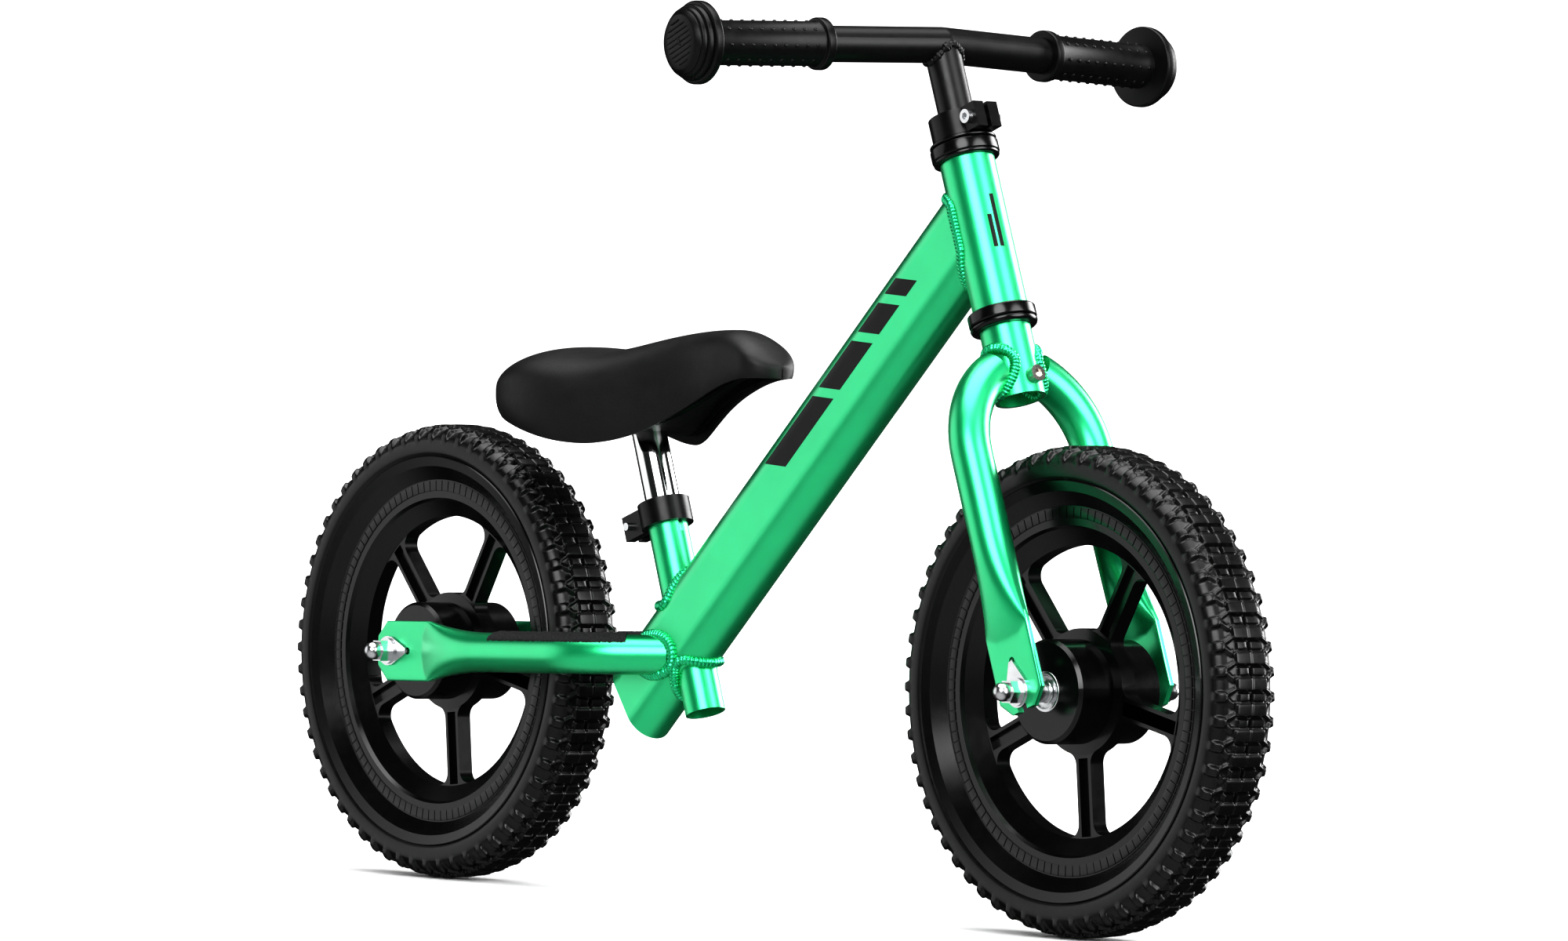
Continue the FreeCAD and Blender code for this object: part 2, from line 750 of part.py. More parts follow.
def saddle_bottom(x):
    """Height of the saddle's lower rim: lowest beside the post, higher at the rear and the nose."""
    low_x, low = size("saddle_dip_x"), size("saddle_rim_low")
    if x < low_x:
        share = min((low_x - x) / size("saddle_rim_reach"), 1)
        return low + size("saddle_rim_rear") * (0.5 - 0.5 * math.cos(math.pi * share))
    share = min((x - low_x) / (size("saddle_nose_x") - low_x + size("saddle_rim_past_nose")), 1)
    return low + size("saddle_rim_nose") * (0.5 - 0.5 * math.cos(math.pi * share))


def saddle_section(x, shrink):
    """Closed smooth section across the saddle at x, drawn in by shrink on every side."""
    half = max(saddle_half_width(x) - shrink, 1.2)
    top = saddle_top(x) - shrink
    bottom = saddle_bottom(x)
    middle, tall = (top + bottom) / 2, max((top - bottom) / 2, 1.2)
    points = []
    for step in range(24):
        angle = 2 * math.pi * step / 24
        across = math.copysign(abs(math.cos(angle)) ** (2 / 2.9), math.cos(angle))
        up = math.copysign(abs(math.sin(angle)) ** (2 / 2.9), math.sin(angle))
        points.append(Vector(x, half * across, middle + tall * up))
    curve = Part.BSplineCurve()
    curve.interpolate(Points=points, PeriodicFlag=True)
    return Part.Wire(curve.toShape())


def saddle_stations(shrink):
    """Places along the saddle for its sections, closer together at the round ends."""
    rear = size("saddle_rear_x") - size("saddle_rear_radius") + shrink
    nose = size("saddle_nose_x") + size("saddle_nose_radius") - shrink
    count = 11
    half = (nose - rear) / 2 - 0.4
    return [(rear + nose) / 2 - half * math.cos(math.pi * index / count) for index in range(count + 1)]


def saddle_solid(shrink):
    return Part.makeLoft([saddle_section(x, shrink) for x in saddle_stations(shrink)], True, False)


def saddle_inside(shrink, floor):
    """The saddle drawn in by shrink and running out through its open underside."""
    return Part.makeLoft([rim_section(x, shrink, floor) for x in saddle_stations(shrink)], True, False)


def rim_section(x, shrink, floor):
    """Section of the hollow at x: as the saddle's, its lower half carried straight down."""
    half = max(saddle_half_width(x) - shrink, 1.2)
    top = saddle_top(x) - shrink
    middle = min((saddle_top(x) + saddle_bottom(x)) / 2, top - 2)
    arch = []
    for step in range(13):
        angle = math.pi * step / 12
        across = math.copysign(abs(math.cos(angle)) ** (2 / 2.9), math.cos(angle))
        arch.append(Vector(x, half * across, middle + (top - middle) * abs(math.sin(angle)) ** (2 / 2.9)))
    curve = Part.BSplineCurve()
    curve.interpolate(Points=arch)
    low = [Vector(x, -half, middle - floor), Vector(x, half, middle - floor)]
    sides = Part.makePolygon([arch[-1], low[0], low[1], arch[0]])
    return Part.Wire([curve.toShape()] + sides.Edges)


def make_seat():
    outer = saddle_solid(0)
    hollow = saddle_inside(size("saddle_skin"), size("saddle_open"))
    cover = doc.addObject("Part::Feature", "cover")
    cover.Shape = outer.cut(hollow)
    piece(cover, "saddle_cover")

    thinner = saddle_inside(size("saddle_skin") + size("shell_wall"), size("saddle_open"))
    post_radius, post_low = size("post_radius"), Vector(0, 0, size("post_low"))
    foot = Vector(size("seat_low_x"), 0, size("seat_low_z"))
    axis = Placement(foot, Rotation(Vector(0, -1, 0), 90 - size("seat_angle")))
    socket_radius = post_radius + size("socket_wall")
    socket = Part.makeCylinder(socket_radius, size("socket_length"), Vector(0, 0, size("socket_low")))
    socket.Placement = axis
    bore = Part.makeCylinder(post_radius, size("post_high") - size("post_low"), post_low)
    bore.Placement = axis
    inner = outer.common(hollow)
    shell = inner.cut(thinner)
    base = doc.addObject("Part::Feature", "base")
    base.Shape = shell.fuse(socket.common(inner)).cut(bore)
    piece(base, "saddle_base")
    post = ring("post_radius", "post_radius - post_wall", "post_high - post_low", z="post_low")
    piece(on_seat_axis(post), "seatpost")


# ---------------------------------------------------------------- wheels

def tyre_body(name):
    """Foam tyre on the wheel's own Z axis: rounded crown, straight sides, seated between the rim flanges."""
    body = doc.addObject("PartDesign::Body", name)
    half = [
        ("tyre_seat_radius", "flange_inner"),
        ("flange_radius", "flange_inner"),
        ("flange_radius", "tyre_half_width - 0.6"),
        ("flange_radius + 3", "tyre_half_width"),
        ("wheel_radius - 9", "tyre_half_width"),
        ("wheel_radius - 4.5", "tyre_half_width - 2.6"),
        ("wheel_radius - 1.2", "tyre_half_width - 7"),
        ("wheel_radius", "tyre_half_width - 12"),
    ]
    points = half + [(across, f"-({up})") for across, up in reversed(half)]
    revolved(body, polygon(body, name + "_profile", "XZ_Plane", points))
    return body


def rim_body(name):
    """Moulded rim: flanged ring, five channelled spokes and the hub barrel, in one piece."""
    body = doc.addObject("PartDesign::Body", name)
    half = [
        ("window_radius", "window_edge"),
        ("lip_radius", "web_outer - 2.5"),
        ("lip_radius + 1.5", "web_outer"),
        ("cone_radius", "web_outer"),
        ("step_radius", "flange_inner"),
        ("flange_radius - 0.6", "flange_outer"),
        ("flange_radius", "flange_outer - 0.6"),
        ("flange_radius", "flange_inner"),
        ("tyre_seat_radius", "flange_inner"),
        ("tyre_seat_radius", "rim_channel_half"),
        ("rim_channel_floor", "rim_channel_half"),
    ]
    points = half + [(across, f"-({up})") for across, up in reversed(half)]
    revolved(body, polygon(body, name + "_ring", "XZ_Plane", points))

    hub = [
        (0, "hub_half"),
        ("hub_radius - 2", "hub_half"),
        ("hub_radius", "hub_half - 2"),
        ("hub_radius", "hub_collar_half"),
        ("hub_collar_radius", "hub_collar_half - 1"),
    ]
    points = hub + [(across, f"-({up})") for across, up in reversed(hub)]
    revolved(body, polygon(body, name + "_hub", "XZ_Plane", points))

    wide = "spoke_width / 2"
    bar = rectangle(wide, "hub_radius - 6", "window_radius + 0.4")
    spoke = pad_both_ways(body, polygon(body, name + "_spoke", "XY_Plane", bar), "2 * spoke_half")
    spokes = five_fold(body, spoke)
    doc.recompute()
    numbered = enumerate(spokes.Shape.Edges, start=1)
    corners = [f"Edge{number}" for number, edge in numbered if is_spoke_corner(edge)]
    rounded = body.newObject("PartDesign::Fillet", "rounded")
    rounded.Base = (spokes, corners)
    bind(rounded, Radius="spoke_fillet")

    hollow = rectangle(f"{wide} - spoke_wall", "hub_collar_radius + 2", "window_radius - 1")
    depth = "spoke_half - spoke_web_half"
    front = pocket(body, polygon(body, name + "_front", "XY_Plane", hollow, "spoke_half"), depth)
    back = pocket(body, polygon(body, name + "_back", "XY_Plane", hollow, "-spoke_half"), depth, reverse=True)
    five_fold(body, front, back)
    return body


def rectangle(half, low, high):
    return [(f"-({half})", low), (half, low), (half, high), (f"-({half})", high)]


def is_spoke_corner(edge):
    """True for the straight edges where a spoke meets the hub or the ring."""
    if len(edge.Vertexes) != 2:
        return False
    start, end = edge.Vertexes[0].Point, edge.Vertexes[1].Point
    if abs(start.x - end.x) > 0.01 or abs(start.y - end.y) > 0.01:
        return False
    radius = math.hypot(start.x, start.y)
    return abs(radius - size("hub_collar_radius")) < 0.5 or abs(radius - size("window_radius")) < 0.5


def tab_washer(name):
    """Keyed washer in the XY plane: a disc with a pointed tab along X and a hook into the dropout's hole."""
    body = doc.addObject("PartDesign::Body", name)
    wide = "tab_radius * 0.95"
    tab = [
        (0, f"-{wide}"),
        ("tab_radius * 0.45", f"-{wide}"),
        ("tab_hole_at - 0.4", -1.6),
        ("tab_hole_at - 0.4", 1.6),
        ("tab_radius * 0.45", wide),
        (0, wide),
    ]
    disc = body.newObject("PartDesign::Pad", "disc")
    disc.Profile = circle(body, name + "_disc", "tab_radius")
    bind(disc, Length="washer")
    point = body.newObject("PartDesign::Pad", "tab")
    point.Profile = polygon(body, name + "_tab", "XY_Plane", tab)
    bind(point, Length="washer")
    body.Tip = point
    hook = rod("tab_hole_radius - 1", 3.5, x="tab_hole_at - 1", z=-3)
    return cut(fuse(body, hook), rod("axle_radius", 10, z=-5))


def both_ends(shape):
    """The shape and its copy at the other end of the axle, as one group."""
    other = doc.addObject("Part::Mirroring", "other_end")
    other.Source = shape
    other.Normal = Vector(0, 0, 1)
    return group(shape, other)


def make_axle(label, tab_angle, on_wheel):
    """Axle and everything clamped on it between and outside the dropouts."""
    plate_out = "(drop_inner + drop_plate)"
    piece(on_wheel(rod("axle_radius", "2 * axle_half", z="-axle_half")), label + "_axle")
    inner_end = "hub_half + bearing_lip + spacer_gap"
    spacer = ring("spacer_radius", "axle_radius", f"drop_inner - ({inner_end})", z=inner_end)
    piece(on_wheel(both_ends(spacer)), label + "_spacers")
    tab = posed(tab_washer(label + "_tab"), 0, 0, plate_out, Rotation(Vector(0, 0, 1), tab_angle))
    piece(on_wheel(both_ends(tab)), label + "_tab_washers")
    flat = ring("washer_radius", "axle_radius", "washer", z=f"{plate_out} + washer")
    piece(on_wheel(both_ends(flat)), label + "_washers")
    nut_low = f"{plate_out} + 2 * washer"
    flats = move(hexagon("nut_width / 2 / cos(30)", "nut_height"), 0, 0, nut_low)
    dome = fuse(
        flats,
        rod("dome_radius", "nut_height + 3", z=nut_low),
        ball("dome_radius", z=f"{nut_low} + nut_height + 3"),
    )
    piece(on_wheel(both_ends(cut(dome, rod("axle_radius", "axle_half")))), label + "_axle_nuts")


def make_wheel(label, on_wheel):
    piece(on_wheel(tyre_body(label + "_tyre_shape")), label + "_tyre")
    seat = "hub_half - bearing_width"
    rim = cut(
        rim_body(label + "_rim_shape"),
        rod("hub_bore", "2 * hub_half", z="-hub_half"),
        rod("bearing_seat", "bearing_width", z=seat),
        rod("bearing_seat", "bearing_width", z="-hub_half"),
    )
    piece(on_wheel(posed(rim, turn=Rotation(Vector(0, 0, 1), size("spoke_turn")))), label + "_rim")
    bearing = cut(
        fuse(rod("bearing_seat", "bearing_width", z=seat), rod("bearing_rim", "bearing_lip", z="hub_half")),
        rod("bearing_bore", "hub_half + 10"),
    )
    piece(on_wheel(both_ends(bearing)), label + "_bearings")


def on_front_wheel(obj):
    return posed(obj, "wheelbase / 2", 0, "wheel_radius", Rotation(Vector(1, 0, 0), -90))


def on_rear_wheel(obj):
    return posed(obj, "-wheelbase / 2", 0, "wheel_radius", Rotation(Vector(1, 0, 0), -90))


def check_and_write():
    """Stop if anything failed, then write one file for each piece."""
    for obj in doc.Objects:
        if "Invalid" in obj.State or "Error" in obj.State:
            raise RuntimeError(f"{obj.Name} failed: {obj.State}")
    os.makedirs("parts", exist_ok=True)
    for obj in PIECES:
        if obj.Shape.isNull() or not obj.Shape.isValid():
            raise RuntimeError(f"{obj.Label} has no valid shape")
        obj.Shape.exportStep(os.path.join("parts", obj.Label + ".step"))
        print(f"{obj.Label:24s} solids {len(obj.Shape.Solids)} volume {obj.Shape.Volume:.0f}")


make_frame()
make_headset()
make_fork()
make_stem_clamp()
make_seat_clamp()
make_handlebar()
make_seat()
make_wheel("front", on_front_wheel)
make_wheel("rear", on_rear_wheel)
make_axle("front", size("head_angle") - 180, on_front_wheel)
make_axle("rear", -size("stay_rise"), on_rear_wheel)
doc.recompute()
check_and_write()
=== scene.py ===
"""Looks of the balance bike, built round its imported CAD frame.

Metres in the row frame: X forward, Y to the rider's left, Z up. Shapes are worked out in local frames in
millimetres and then placed.
"""
import json
import math

import bmesh
import bpy
import numpy as np
from mathutils import Matrix, Vector, noise
from mathutils.bvhtree import BVHTree


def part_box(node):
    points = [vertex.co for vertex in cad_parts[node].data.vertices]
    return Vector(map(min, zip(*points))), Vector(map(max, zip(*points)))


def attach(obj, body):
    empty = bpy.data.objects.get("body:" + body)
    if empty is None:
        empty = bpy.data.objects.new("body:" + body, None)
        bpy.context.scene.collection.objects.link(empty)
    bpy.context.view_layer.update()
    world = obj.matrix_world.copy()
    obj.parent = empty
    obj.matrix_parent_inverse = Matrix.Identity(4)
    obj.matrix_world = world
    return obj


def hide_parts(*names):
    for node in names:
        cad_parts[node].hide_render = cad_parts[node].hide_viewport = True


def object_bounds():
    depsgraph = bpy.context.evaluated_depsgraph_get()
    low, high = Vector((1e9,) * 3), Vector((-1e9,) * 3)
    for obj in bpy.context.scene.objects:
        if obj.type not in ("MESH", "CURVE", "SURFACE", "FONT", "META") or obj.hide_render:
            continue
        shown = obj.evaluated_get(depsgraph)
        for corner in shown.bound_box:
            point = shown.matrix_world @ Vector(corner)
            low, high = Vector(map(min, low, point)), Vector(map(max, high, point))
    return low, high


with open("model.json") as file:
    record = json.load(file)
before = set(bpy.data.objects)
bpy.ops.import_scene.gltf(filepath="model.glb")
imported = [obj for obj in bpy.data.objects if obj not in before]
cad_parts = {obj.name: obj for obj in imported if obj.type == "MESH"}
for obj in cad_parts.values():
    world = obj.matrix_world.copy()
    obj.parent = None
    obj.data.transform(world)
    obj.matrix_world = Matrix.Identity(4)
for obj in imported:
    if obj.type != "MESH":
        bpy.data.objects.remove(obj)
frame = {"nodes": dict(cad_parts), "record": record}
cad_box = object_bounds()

TAU = 2 * math.pi
MM = 0.001


# ---------------------------------------------------------------- local frames

class Local:
    """A frame tilted in the bike's middle plane: x forward, y left, z up, in millimetres from its origin."""

    def __init__(self, origin, degrees):
        tilt = math.radians(degrees)
        self.origin = np.array(origin, float)
        self.x = np.array([math.cos(tilt), 0, math.sin(tilt)])
        self.y = np.array([0, 1.0, 0])
        self.z = np.array([-math.sin(tilt), 0, math.cos(tilt)])

    def place(self, points):
        points = np.asarray(points, float) * MM
        return self.origin + points[..., :1] * self.x + points[..., 1:2] * self.y + points[..., 2:] * self.z


def middle(node):
    low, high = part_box(node)
    return (np.array(low) + np.array(high)) / 2


FRONT = middle("front_axle")
REAR = middle("rear_axle")
STEERING = Local(FRONT, 21)
STAY = Local(REAR, 1.6)
DOWN = Local((-0.115, 0, 0.123), -46.1)
SEAT_TUBE = Local((-0.0503, 0, 0.1185), 20)
WHOLE = Local((0, 0, 0), 0)


# ---------------------------------------------------------------- mesh building

class Soup:
    """Gathers grids of points into one mesh."""

    def __init__(self):
        self.points = []
        self.faces = []
        self.count = 0

    def grid(self, points, around=True, along=False, caps=False):
        """Adds a grid [along, around, xyz]. around and along close it on itself; caps close its two ends."""
        points = np.asarray(points, float)
        rows, columns = points.shape[:2]
        index = np.arange(rows * columns).reshape(rows, columns) + self.count
        row_next = np.roll(index, -1, 0)
        column_next = np.roll(index, -1, 1)
        both_next = np.roll(row_next, -1, 1)
        quads = np.stack([index, column_next, both_next, row_next], -1)
        quads = quads[: rows if along else rows - 1, : columns if around else columns - 1]
        faces = quads.reshape(-1, 4).tolist()
        if caps:
            faces += [index[0][::-1].tolist(), index[-1].tolist()]
        self.points.append(points.reshape(-1, 3))
        self.faces += faces
        self.count += rows * columns
        return self

    def build(self, name, body, finish, slot, sharp=35):
        """One object from everything gathered, riding on a body, its faces turned outwards."""
        mesh = bpy.data.meshes.new(name)
        mesh.from_pydata(np.concatenate(self.points).tolist(), [], self.faces)
        mesh.update()
        mesh.polygons.foreach_set("use_smooth", [True] * len(mesh.polygons))
        turn_outwards(mesh)
        mesh.set_sharp_from_angle(angle=math.radians(sharp))
        obj = bpy.data.objects.new(name, mesh)
        bpy.context.scene.collection.objects.link(obj)
        mesh.materials.append(finish)
        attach(obj, body)
        return obj


def turn_outwards(mesh):
    """Turns each closed shell of a mesh right side out."""
    shape = bmesh.new()
    shape.from_mesh(mesh)
    bmesh.ops.recalc_face_normals(shape, faces=shape.faces)
    shape.to_mesh(mesh)
    shape.free()


def lathe(local, profile, steps, axis="z"):
    """Points of a closed (radius, height) outline turned about the local z or y axis."""
    profile = np.asarray(profile, float)
    angle = np.arange(steps) * TAU / steps
    radius = profile[:, 0][:, None]
    height = np.repeat(profile[:, 1][:, None], steps, 1)
    across, up = radius * np.cos(angle), radius * np.sin(angle)
    order = (across, up, height) if axis == "z" else (across, height, up)
    return local.place(np.stack(order, -1))


def rounded(outline, radius):
    """A closed outline with each corner cut round by a curve of three points."""
    outline = np.asarray(outline, float)
    result = []
    for before, corner, after in zip(np.roll(outline, 1, 0), outline, np.roll(outline, -1, 0)):
        first, second = before - corner, after - corner
        reach = min(radius, 0.45 * np.linalg.norm(first), 0.45 * np.linalg.norm(second))
        start = corner + first / np.linalg.norm(first) * reach
        end = corner + second / np.linalg.norm(second) * reach
        for share in (0, 0.5, 1):
            result.append((1 - share) ** 2 * start + 2 * share * (1 - share) * corner + share ** 2 * end)
    return result


def tube(path, radius, columns):
    """Points of a round tube along a path in metres; radius may differ from row to row."""
    path = np.asarray(path, float)
    forward = np.gradient(path, axis=0)
    forward /= np.linalg.norm(forward, axis=1)[:, None]
    side = np.cross(forward, [0.3, 0.2, 0.93])
    side /= np.linalg.norm(side, axis=1)[:, None]
    other = np.cross(forward, side)
    angle = np.arange(columns) * TAU / columns
    radius = np.broadcast_to(radius, len(path))[:, None, None]
    ring = side[:, None] * np.cos(angle)[:, None] + other[:, None] * np.sin(angle)[:, None]
    return path[:, None] + radius * ring


def dome(centre, normal, radius, height):
    """Points of a low round bump that stands on centre, its foot sunk in."""
    columns, rows, sunk = 10, 4, 0.25
    normal = np.asarray(normal, float) / np.linalg.norm(normal)
    side = np.cross(normal, [0.31, 0.17, 0.94])
    side /= np.linalg.norm(side)
    other = np.cross(normal, side)
    angle = np.arange(columns) * TAU / columns
    ring = side * np.cos(angle)[:, None] + other * np.sin(angle)[:, None]
    lift = np.linspace(-sunk, 1, rows + 1)
    shrink = np.sqrt(np.maximum(1 - np.maximum(lift, 0) ** 2, 0.01))
    rows = [centre + ring * radius * share + normal * height * up for share, up in zip(shrink, lift)]
    return np.array(rows)


def smooth(value, low, high):
    share = np.clip((value - low) / (high - low), 0, 1)
    return share * share * (3 - 2 * share)


# ---------------------------------------------------------------- materials

COAT_IOR = 1.6


def material(name, colour, roughness, metallic=0.0, tint=0.12, patch=40.0, grain=2500.0, bump=0.1,
             depth=0.00005, spread=0.08, coat=0.0, coat_roughness=0.1, specular=0.5, second=None):
    """A procedural finish: colour that drifts a little, uneven gloss and a fine grain in the surface.

    tint is how far the colour drifts over patches, patch and grain are scales in cells to the metre, bump and
    depth are the grain's strength and its height in metres, spread is how far the roughness drifts. second =
    (cells to the metre, strength) adds a cell pattern to the grain."""
    result = bpy.data.materials.new(name)
    result.use_nodes = True
    nodes, links = result.node_tree.nodes, result.node_tree.links
    shader = nodes["Principled BSDF"]
    shader.inputs["Metallic"].default_value = metallic
    shader.inputs["Coat Weight"].default_value = coat
    shader.inputs["Coat Roughness"].default_value = coat_roughness
    shader.inputs["Coat IOR"].default_value = COAT_IOR
    shader.inputs["Specular IOR Level"].default_value = specular
    place = nodes.new("ShaderNodeTexCoord").outputs["Object"]

    def noise_at(scale, detail=3.0):
        node = nodes.new("ShaderNodeTexNoise")
        node.inputs["Scale"].default_value = scale
        node.inputs["Detail"].default_value = detail
        links.new(place, node.inputs["Vector"])
        return node.outputs["Fac"]

    drift = noise_at(patch)
    ramp = nodes.new("ShaderNodeValToRGB")
    for stop, share, at in zip(ramp.color_ramp.elements, (1 - tint, 1 + tint), (0.3, 0.7)):
        stop.position = at
        stop.color = [min(channel * share, 1) for channel in colour] + [1]
    links.new(drift, ramp.inputs["Fac"])
    links.new(ramp.outputs["Color"], shader.inputs["Base Color"])

    gloss = nodes.new("ShaderNodeMapRange")
    gloss.inputs["To Min"].default_value = max(roughness - spread, 0.02)
    gloss.inputs["To Max"].default_value = roughness + spread
    links.new(noise_at(patch * 3.7), gloss.inputs["Value"])
    links.new(gloss.outputs["Result"], shader.inputs["Roughness"])

    relief = nodes.new("ShaderNodeBump")
    relief.inputs["Strength"].default_value = bump
    relief.inputs["Distance"].default_value = depth
    links.new(noise_at(grain, 2.0), relief.inputs["Height"])
    if second:
        cells = nodes.new("ShaderNodeTexVoronoi")
        cells.inputs["Scale"].default_value = second[0]
        links.new(place, cells.inputs["Vector"])
        coarse = nodes.new("ShaderNodeBump")
        coarse.inputs["Strength"].default_value = second[1]
        coarse.inputs["Distance"].default_value = depth
        links.new(cells.outputs["Distance"], coarse.inputs["Height"])
        links.new(relief.outputs["Normal"], coarse.inputs["Normal"])
        relief = coarse
    links.new(relief.outputs["Normal"], shader.inputs["Normal"])
    return result


GREEN = material("green_anodised", (0.004, 0.58, 0.225), 0.34, metallic=0.88, tint=0.05, patch=25,
                 grain=2600, bump=0.2, depth=0.0001, spread=0.04, coat=1.0, coat_roughness=0.28)
WELD = material("green_weld", (0.01, 0.54, 0.23), 0.3, metallic=0.85, tint=0.12, patch=300, grain=1500,
                bump=0.25, depth=0.0002, spread=0.08, coat=0.6, coat_roughness=0.2)
SATIN = material("satin_black_paint", (0.004, 0.004, 0.0042), 0.36, tint=0.15, grain=2600, bump=0.12,
                 depth=0.00008, coat=0.15, coat_roughness=0.3, specular=0.3)
BLACK_WELD = material("black_weld", (0.004, 0.004, 0.0042), 0.35, tint=0.2, patch=300, grain=1500,
                      bump=0.4, depth=0.0002, specular=0.3)
GLOSS = material("gloss_black_moulding", (0.0025, 0.0025, 0.0026), 0.2, tint=0.15, grain=900, bump=0.05,
                 depth=0.0001, spread=0.05, specular=0.45)
FOAM = material("foam_tyre_black", (0.004, 0.004, 0.004), 0.3, tint=0.2, patch=60, grain=1800, bump=0.25,
                depth=0.0001, spread=0.07, specular=0.4)
RUBBER = material("grip_rubber_black", (0.004, 0.004, 0.0042), 0.34, tint=0.15, grain=2000, bump=0.15,
                  depth=0.0001, specular=0.25)
VINYL = material("saddle_vinyl_black", (0.0045, 0.0045, 0.0046), 0.5, tint=0.15, grain=1600, bump=0.2,
                 depth=0.0001, specular=0.4, second=(900, 0.35))
SHELL = material("saddle_shell_black", (0.003, 0.003, 0.003), 0.22, tint=0.15, grain=1100, bump=0.06,
                 depth=0.0001, specular=0.2)
CHROME = material("chromed_post", (0.78, 0.79, 0.8), 0.07, metallic=1.0, tint=0.02, grain=600, bump=0.02,
                  depth=0.0001, spread=0.03)
ZINC = material("bright_zinc", (0.62, 0.63, 0.64), 0.24, metallic=1.0, tint=0.08, patch=120, grain=1800,
                bump=0.12, depth=0.0001, spread=0.08)
STAINLESS = material("stainless_bolt", (0.6, 0.57, 0.53), 0.22, metallic=1.0, tint=0.05, grain=2000,
                     bump=0.08, depth=0.0001, spread=0.06)
GRIT = material("grit_strip", (0.012, 0.012, 0.013), 0.75, tint=0.5, patch=1500, grain=1700, bump=0.9,
                depth=0.0006, spread=0.15, second=(1500, 0.8))
COLLAR = material("headset_black", (0.003, 0.003, 0.0032), 0.22, tint=0.15, grain=1200, bump=0.06,
                  depth=0.0001, coat=0.2, specular=0.3)
CLAMP = material("clamp_black", (0.0035, 0.0035, 0.0037), 0.3, tint=0.15, grain=2000, bump=0.12,
                 depth=0.0001, specular=0.3)
DECAL = material("plain_black_decal", (0.004, 0.004, 0.0042), 0.33, tint=0.1, grain=1500, bump=0.04,
                 depth=0.00005, specular=0.25)

FINISH = {
    "green_paint": GREEN,
    "satin_black": SATIN,
    "gloss_black_plastic": GLOSS,
    "grip_rubber": RUBBER,
    "foam_tyre": FOAM,
    "post_chrome": CHROME,
    "zinc_steel": ZINC,
    "stainless_steel": STAINLESS,
    "grip_strip": GRIT,
    "headset_black": COLLAR,
    "clamp_black": CLAMP,
    "saddle_vinyl": VINYL,
    "saddle_plastic": SHELL,
}
SLOTS = {part["node"]: part["material_slot"] for part in frame["record"]["subparts"]}
for node, cad_node in frame["nodes"].items():
    cad_node.data.materials.clear()
    cad_node.data.materials.append(FINISH[SLOTS[node]])


# ---------------------------------------------------------------- wheels

WHEEL_RADIUS = (cad_box[1][0] - FRONT[0]) / MM
TREAD_PITCHES = 60
PITCH = TAU * WHEEL_RADIUS / TREAD_PITCHES

# Outlines of one half of the tyre from the centre of the tread to the bead, as (distance across, height above
# the crown): once over the tops of the blocks and once over the floor between them. Both share the sidewall.
SIDEWALL = [(23.1, -17), (22.7, -19.6), (21.2, -20.9), (20.9, -26.6)]
TOP = np.array([(0, 0), (6, 0), (12, -0.3), (16.5, -1.3), (20, -3.2), (22.5, -6), (23.5, -9.5), (23.4, -13)]
               + SIDEWALL)
FLOOR = np.array([(0, -2.7), (6, -2.7), (11.7, -3.1), (15.8, -4.1), (19, -6), (21.3, -8.4), (22.6, -10.8),
                  (23.1, -13.4)] + SIDEWALL)
# How far along TOP each of its points is, from the centre.
REACH = np.concatenate([[0], np.cumsum(np.linalg.norm(np.diff(TOP, axis=0), axis=1))])

# Where the mesh has its rows, closest at the edges of the blocks: along one pitch of the tread, and along the
# outline from the centre to the bead.
AROUND = np.array([0.0, 0.4, 0.85, 1.4, 2.4, 3.6, 4.9, 6.2, 7.2, 7.8, 8.3, 8.75, 9.2, 9.65, 10.1, 10.7, 11.6,
                   12.6, 13.6, 14.3, 14.8, 15.1])
ACROSS = np.array([0, 0.35, 0.7, 1.3, 1.8, 3.6, 6, 8.4, 9.7, 10.2, 10.7, 11.3, 11.9, 12.4, 13, 13.8, 14.7,
                   15.7, 16.7, 17.3, 17.9, 18.8, 20, 21.5, 23, 24.5, 25.8, 26.9, 27.7, 28.6, 30, 32, 34.5,
                   36.8, 38.6, 39.9, 41.5, REACH[-1]])


def rounded_box(a, w, a_low, a_high, w_low, w_high, corner, edge=1.5):
    """A block seen from above: 1 at its middle, crowned, 0 outside its round corners, with a sloping edge."""
    crown, crown_reach = 0.05, 2.5
    da = np.abs(a - (a_low + a_high) / 2) - (a_high - a_low) / 2 + corner
    dw = np.abs(w - (w_low + w_high) / 2) - (w_high - w_low) / 2 + corner
    out = np.hypot(np.maximum(da, 0), np.maximum(dw, 0)) + np.minimum(np.maximum(da, dw), 0) - corner
    return smooth(-out, -0.4 * edge, 0.6 * edge) - crown * smooth(out, -crown_reach, 0)


def capsule(a, w, start, end, half, edge):
    """1 along a short straight ridge from start to end, falling away at its sides."""
    start, run = np.array(start), np.array(end) - np.array(start)
    share = np.clip(((a - start[0]) * run[0] + (w - start[1]) * run[1]) / run.dot(run), 0, 1)
    out = np.hypot(a - start[0] - share * run[0], w - start[1] - share * run[1]) - half
    return smooth(-out, -edge / 2, edge / 2)


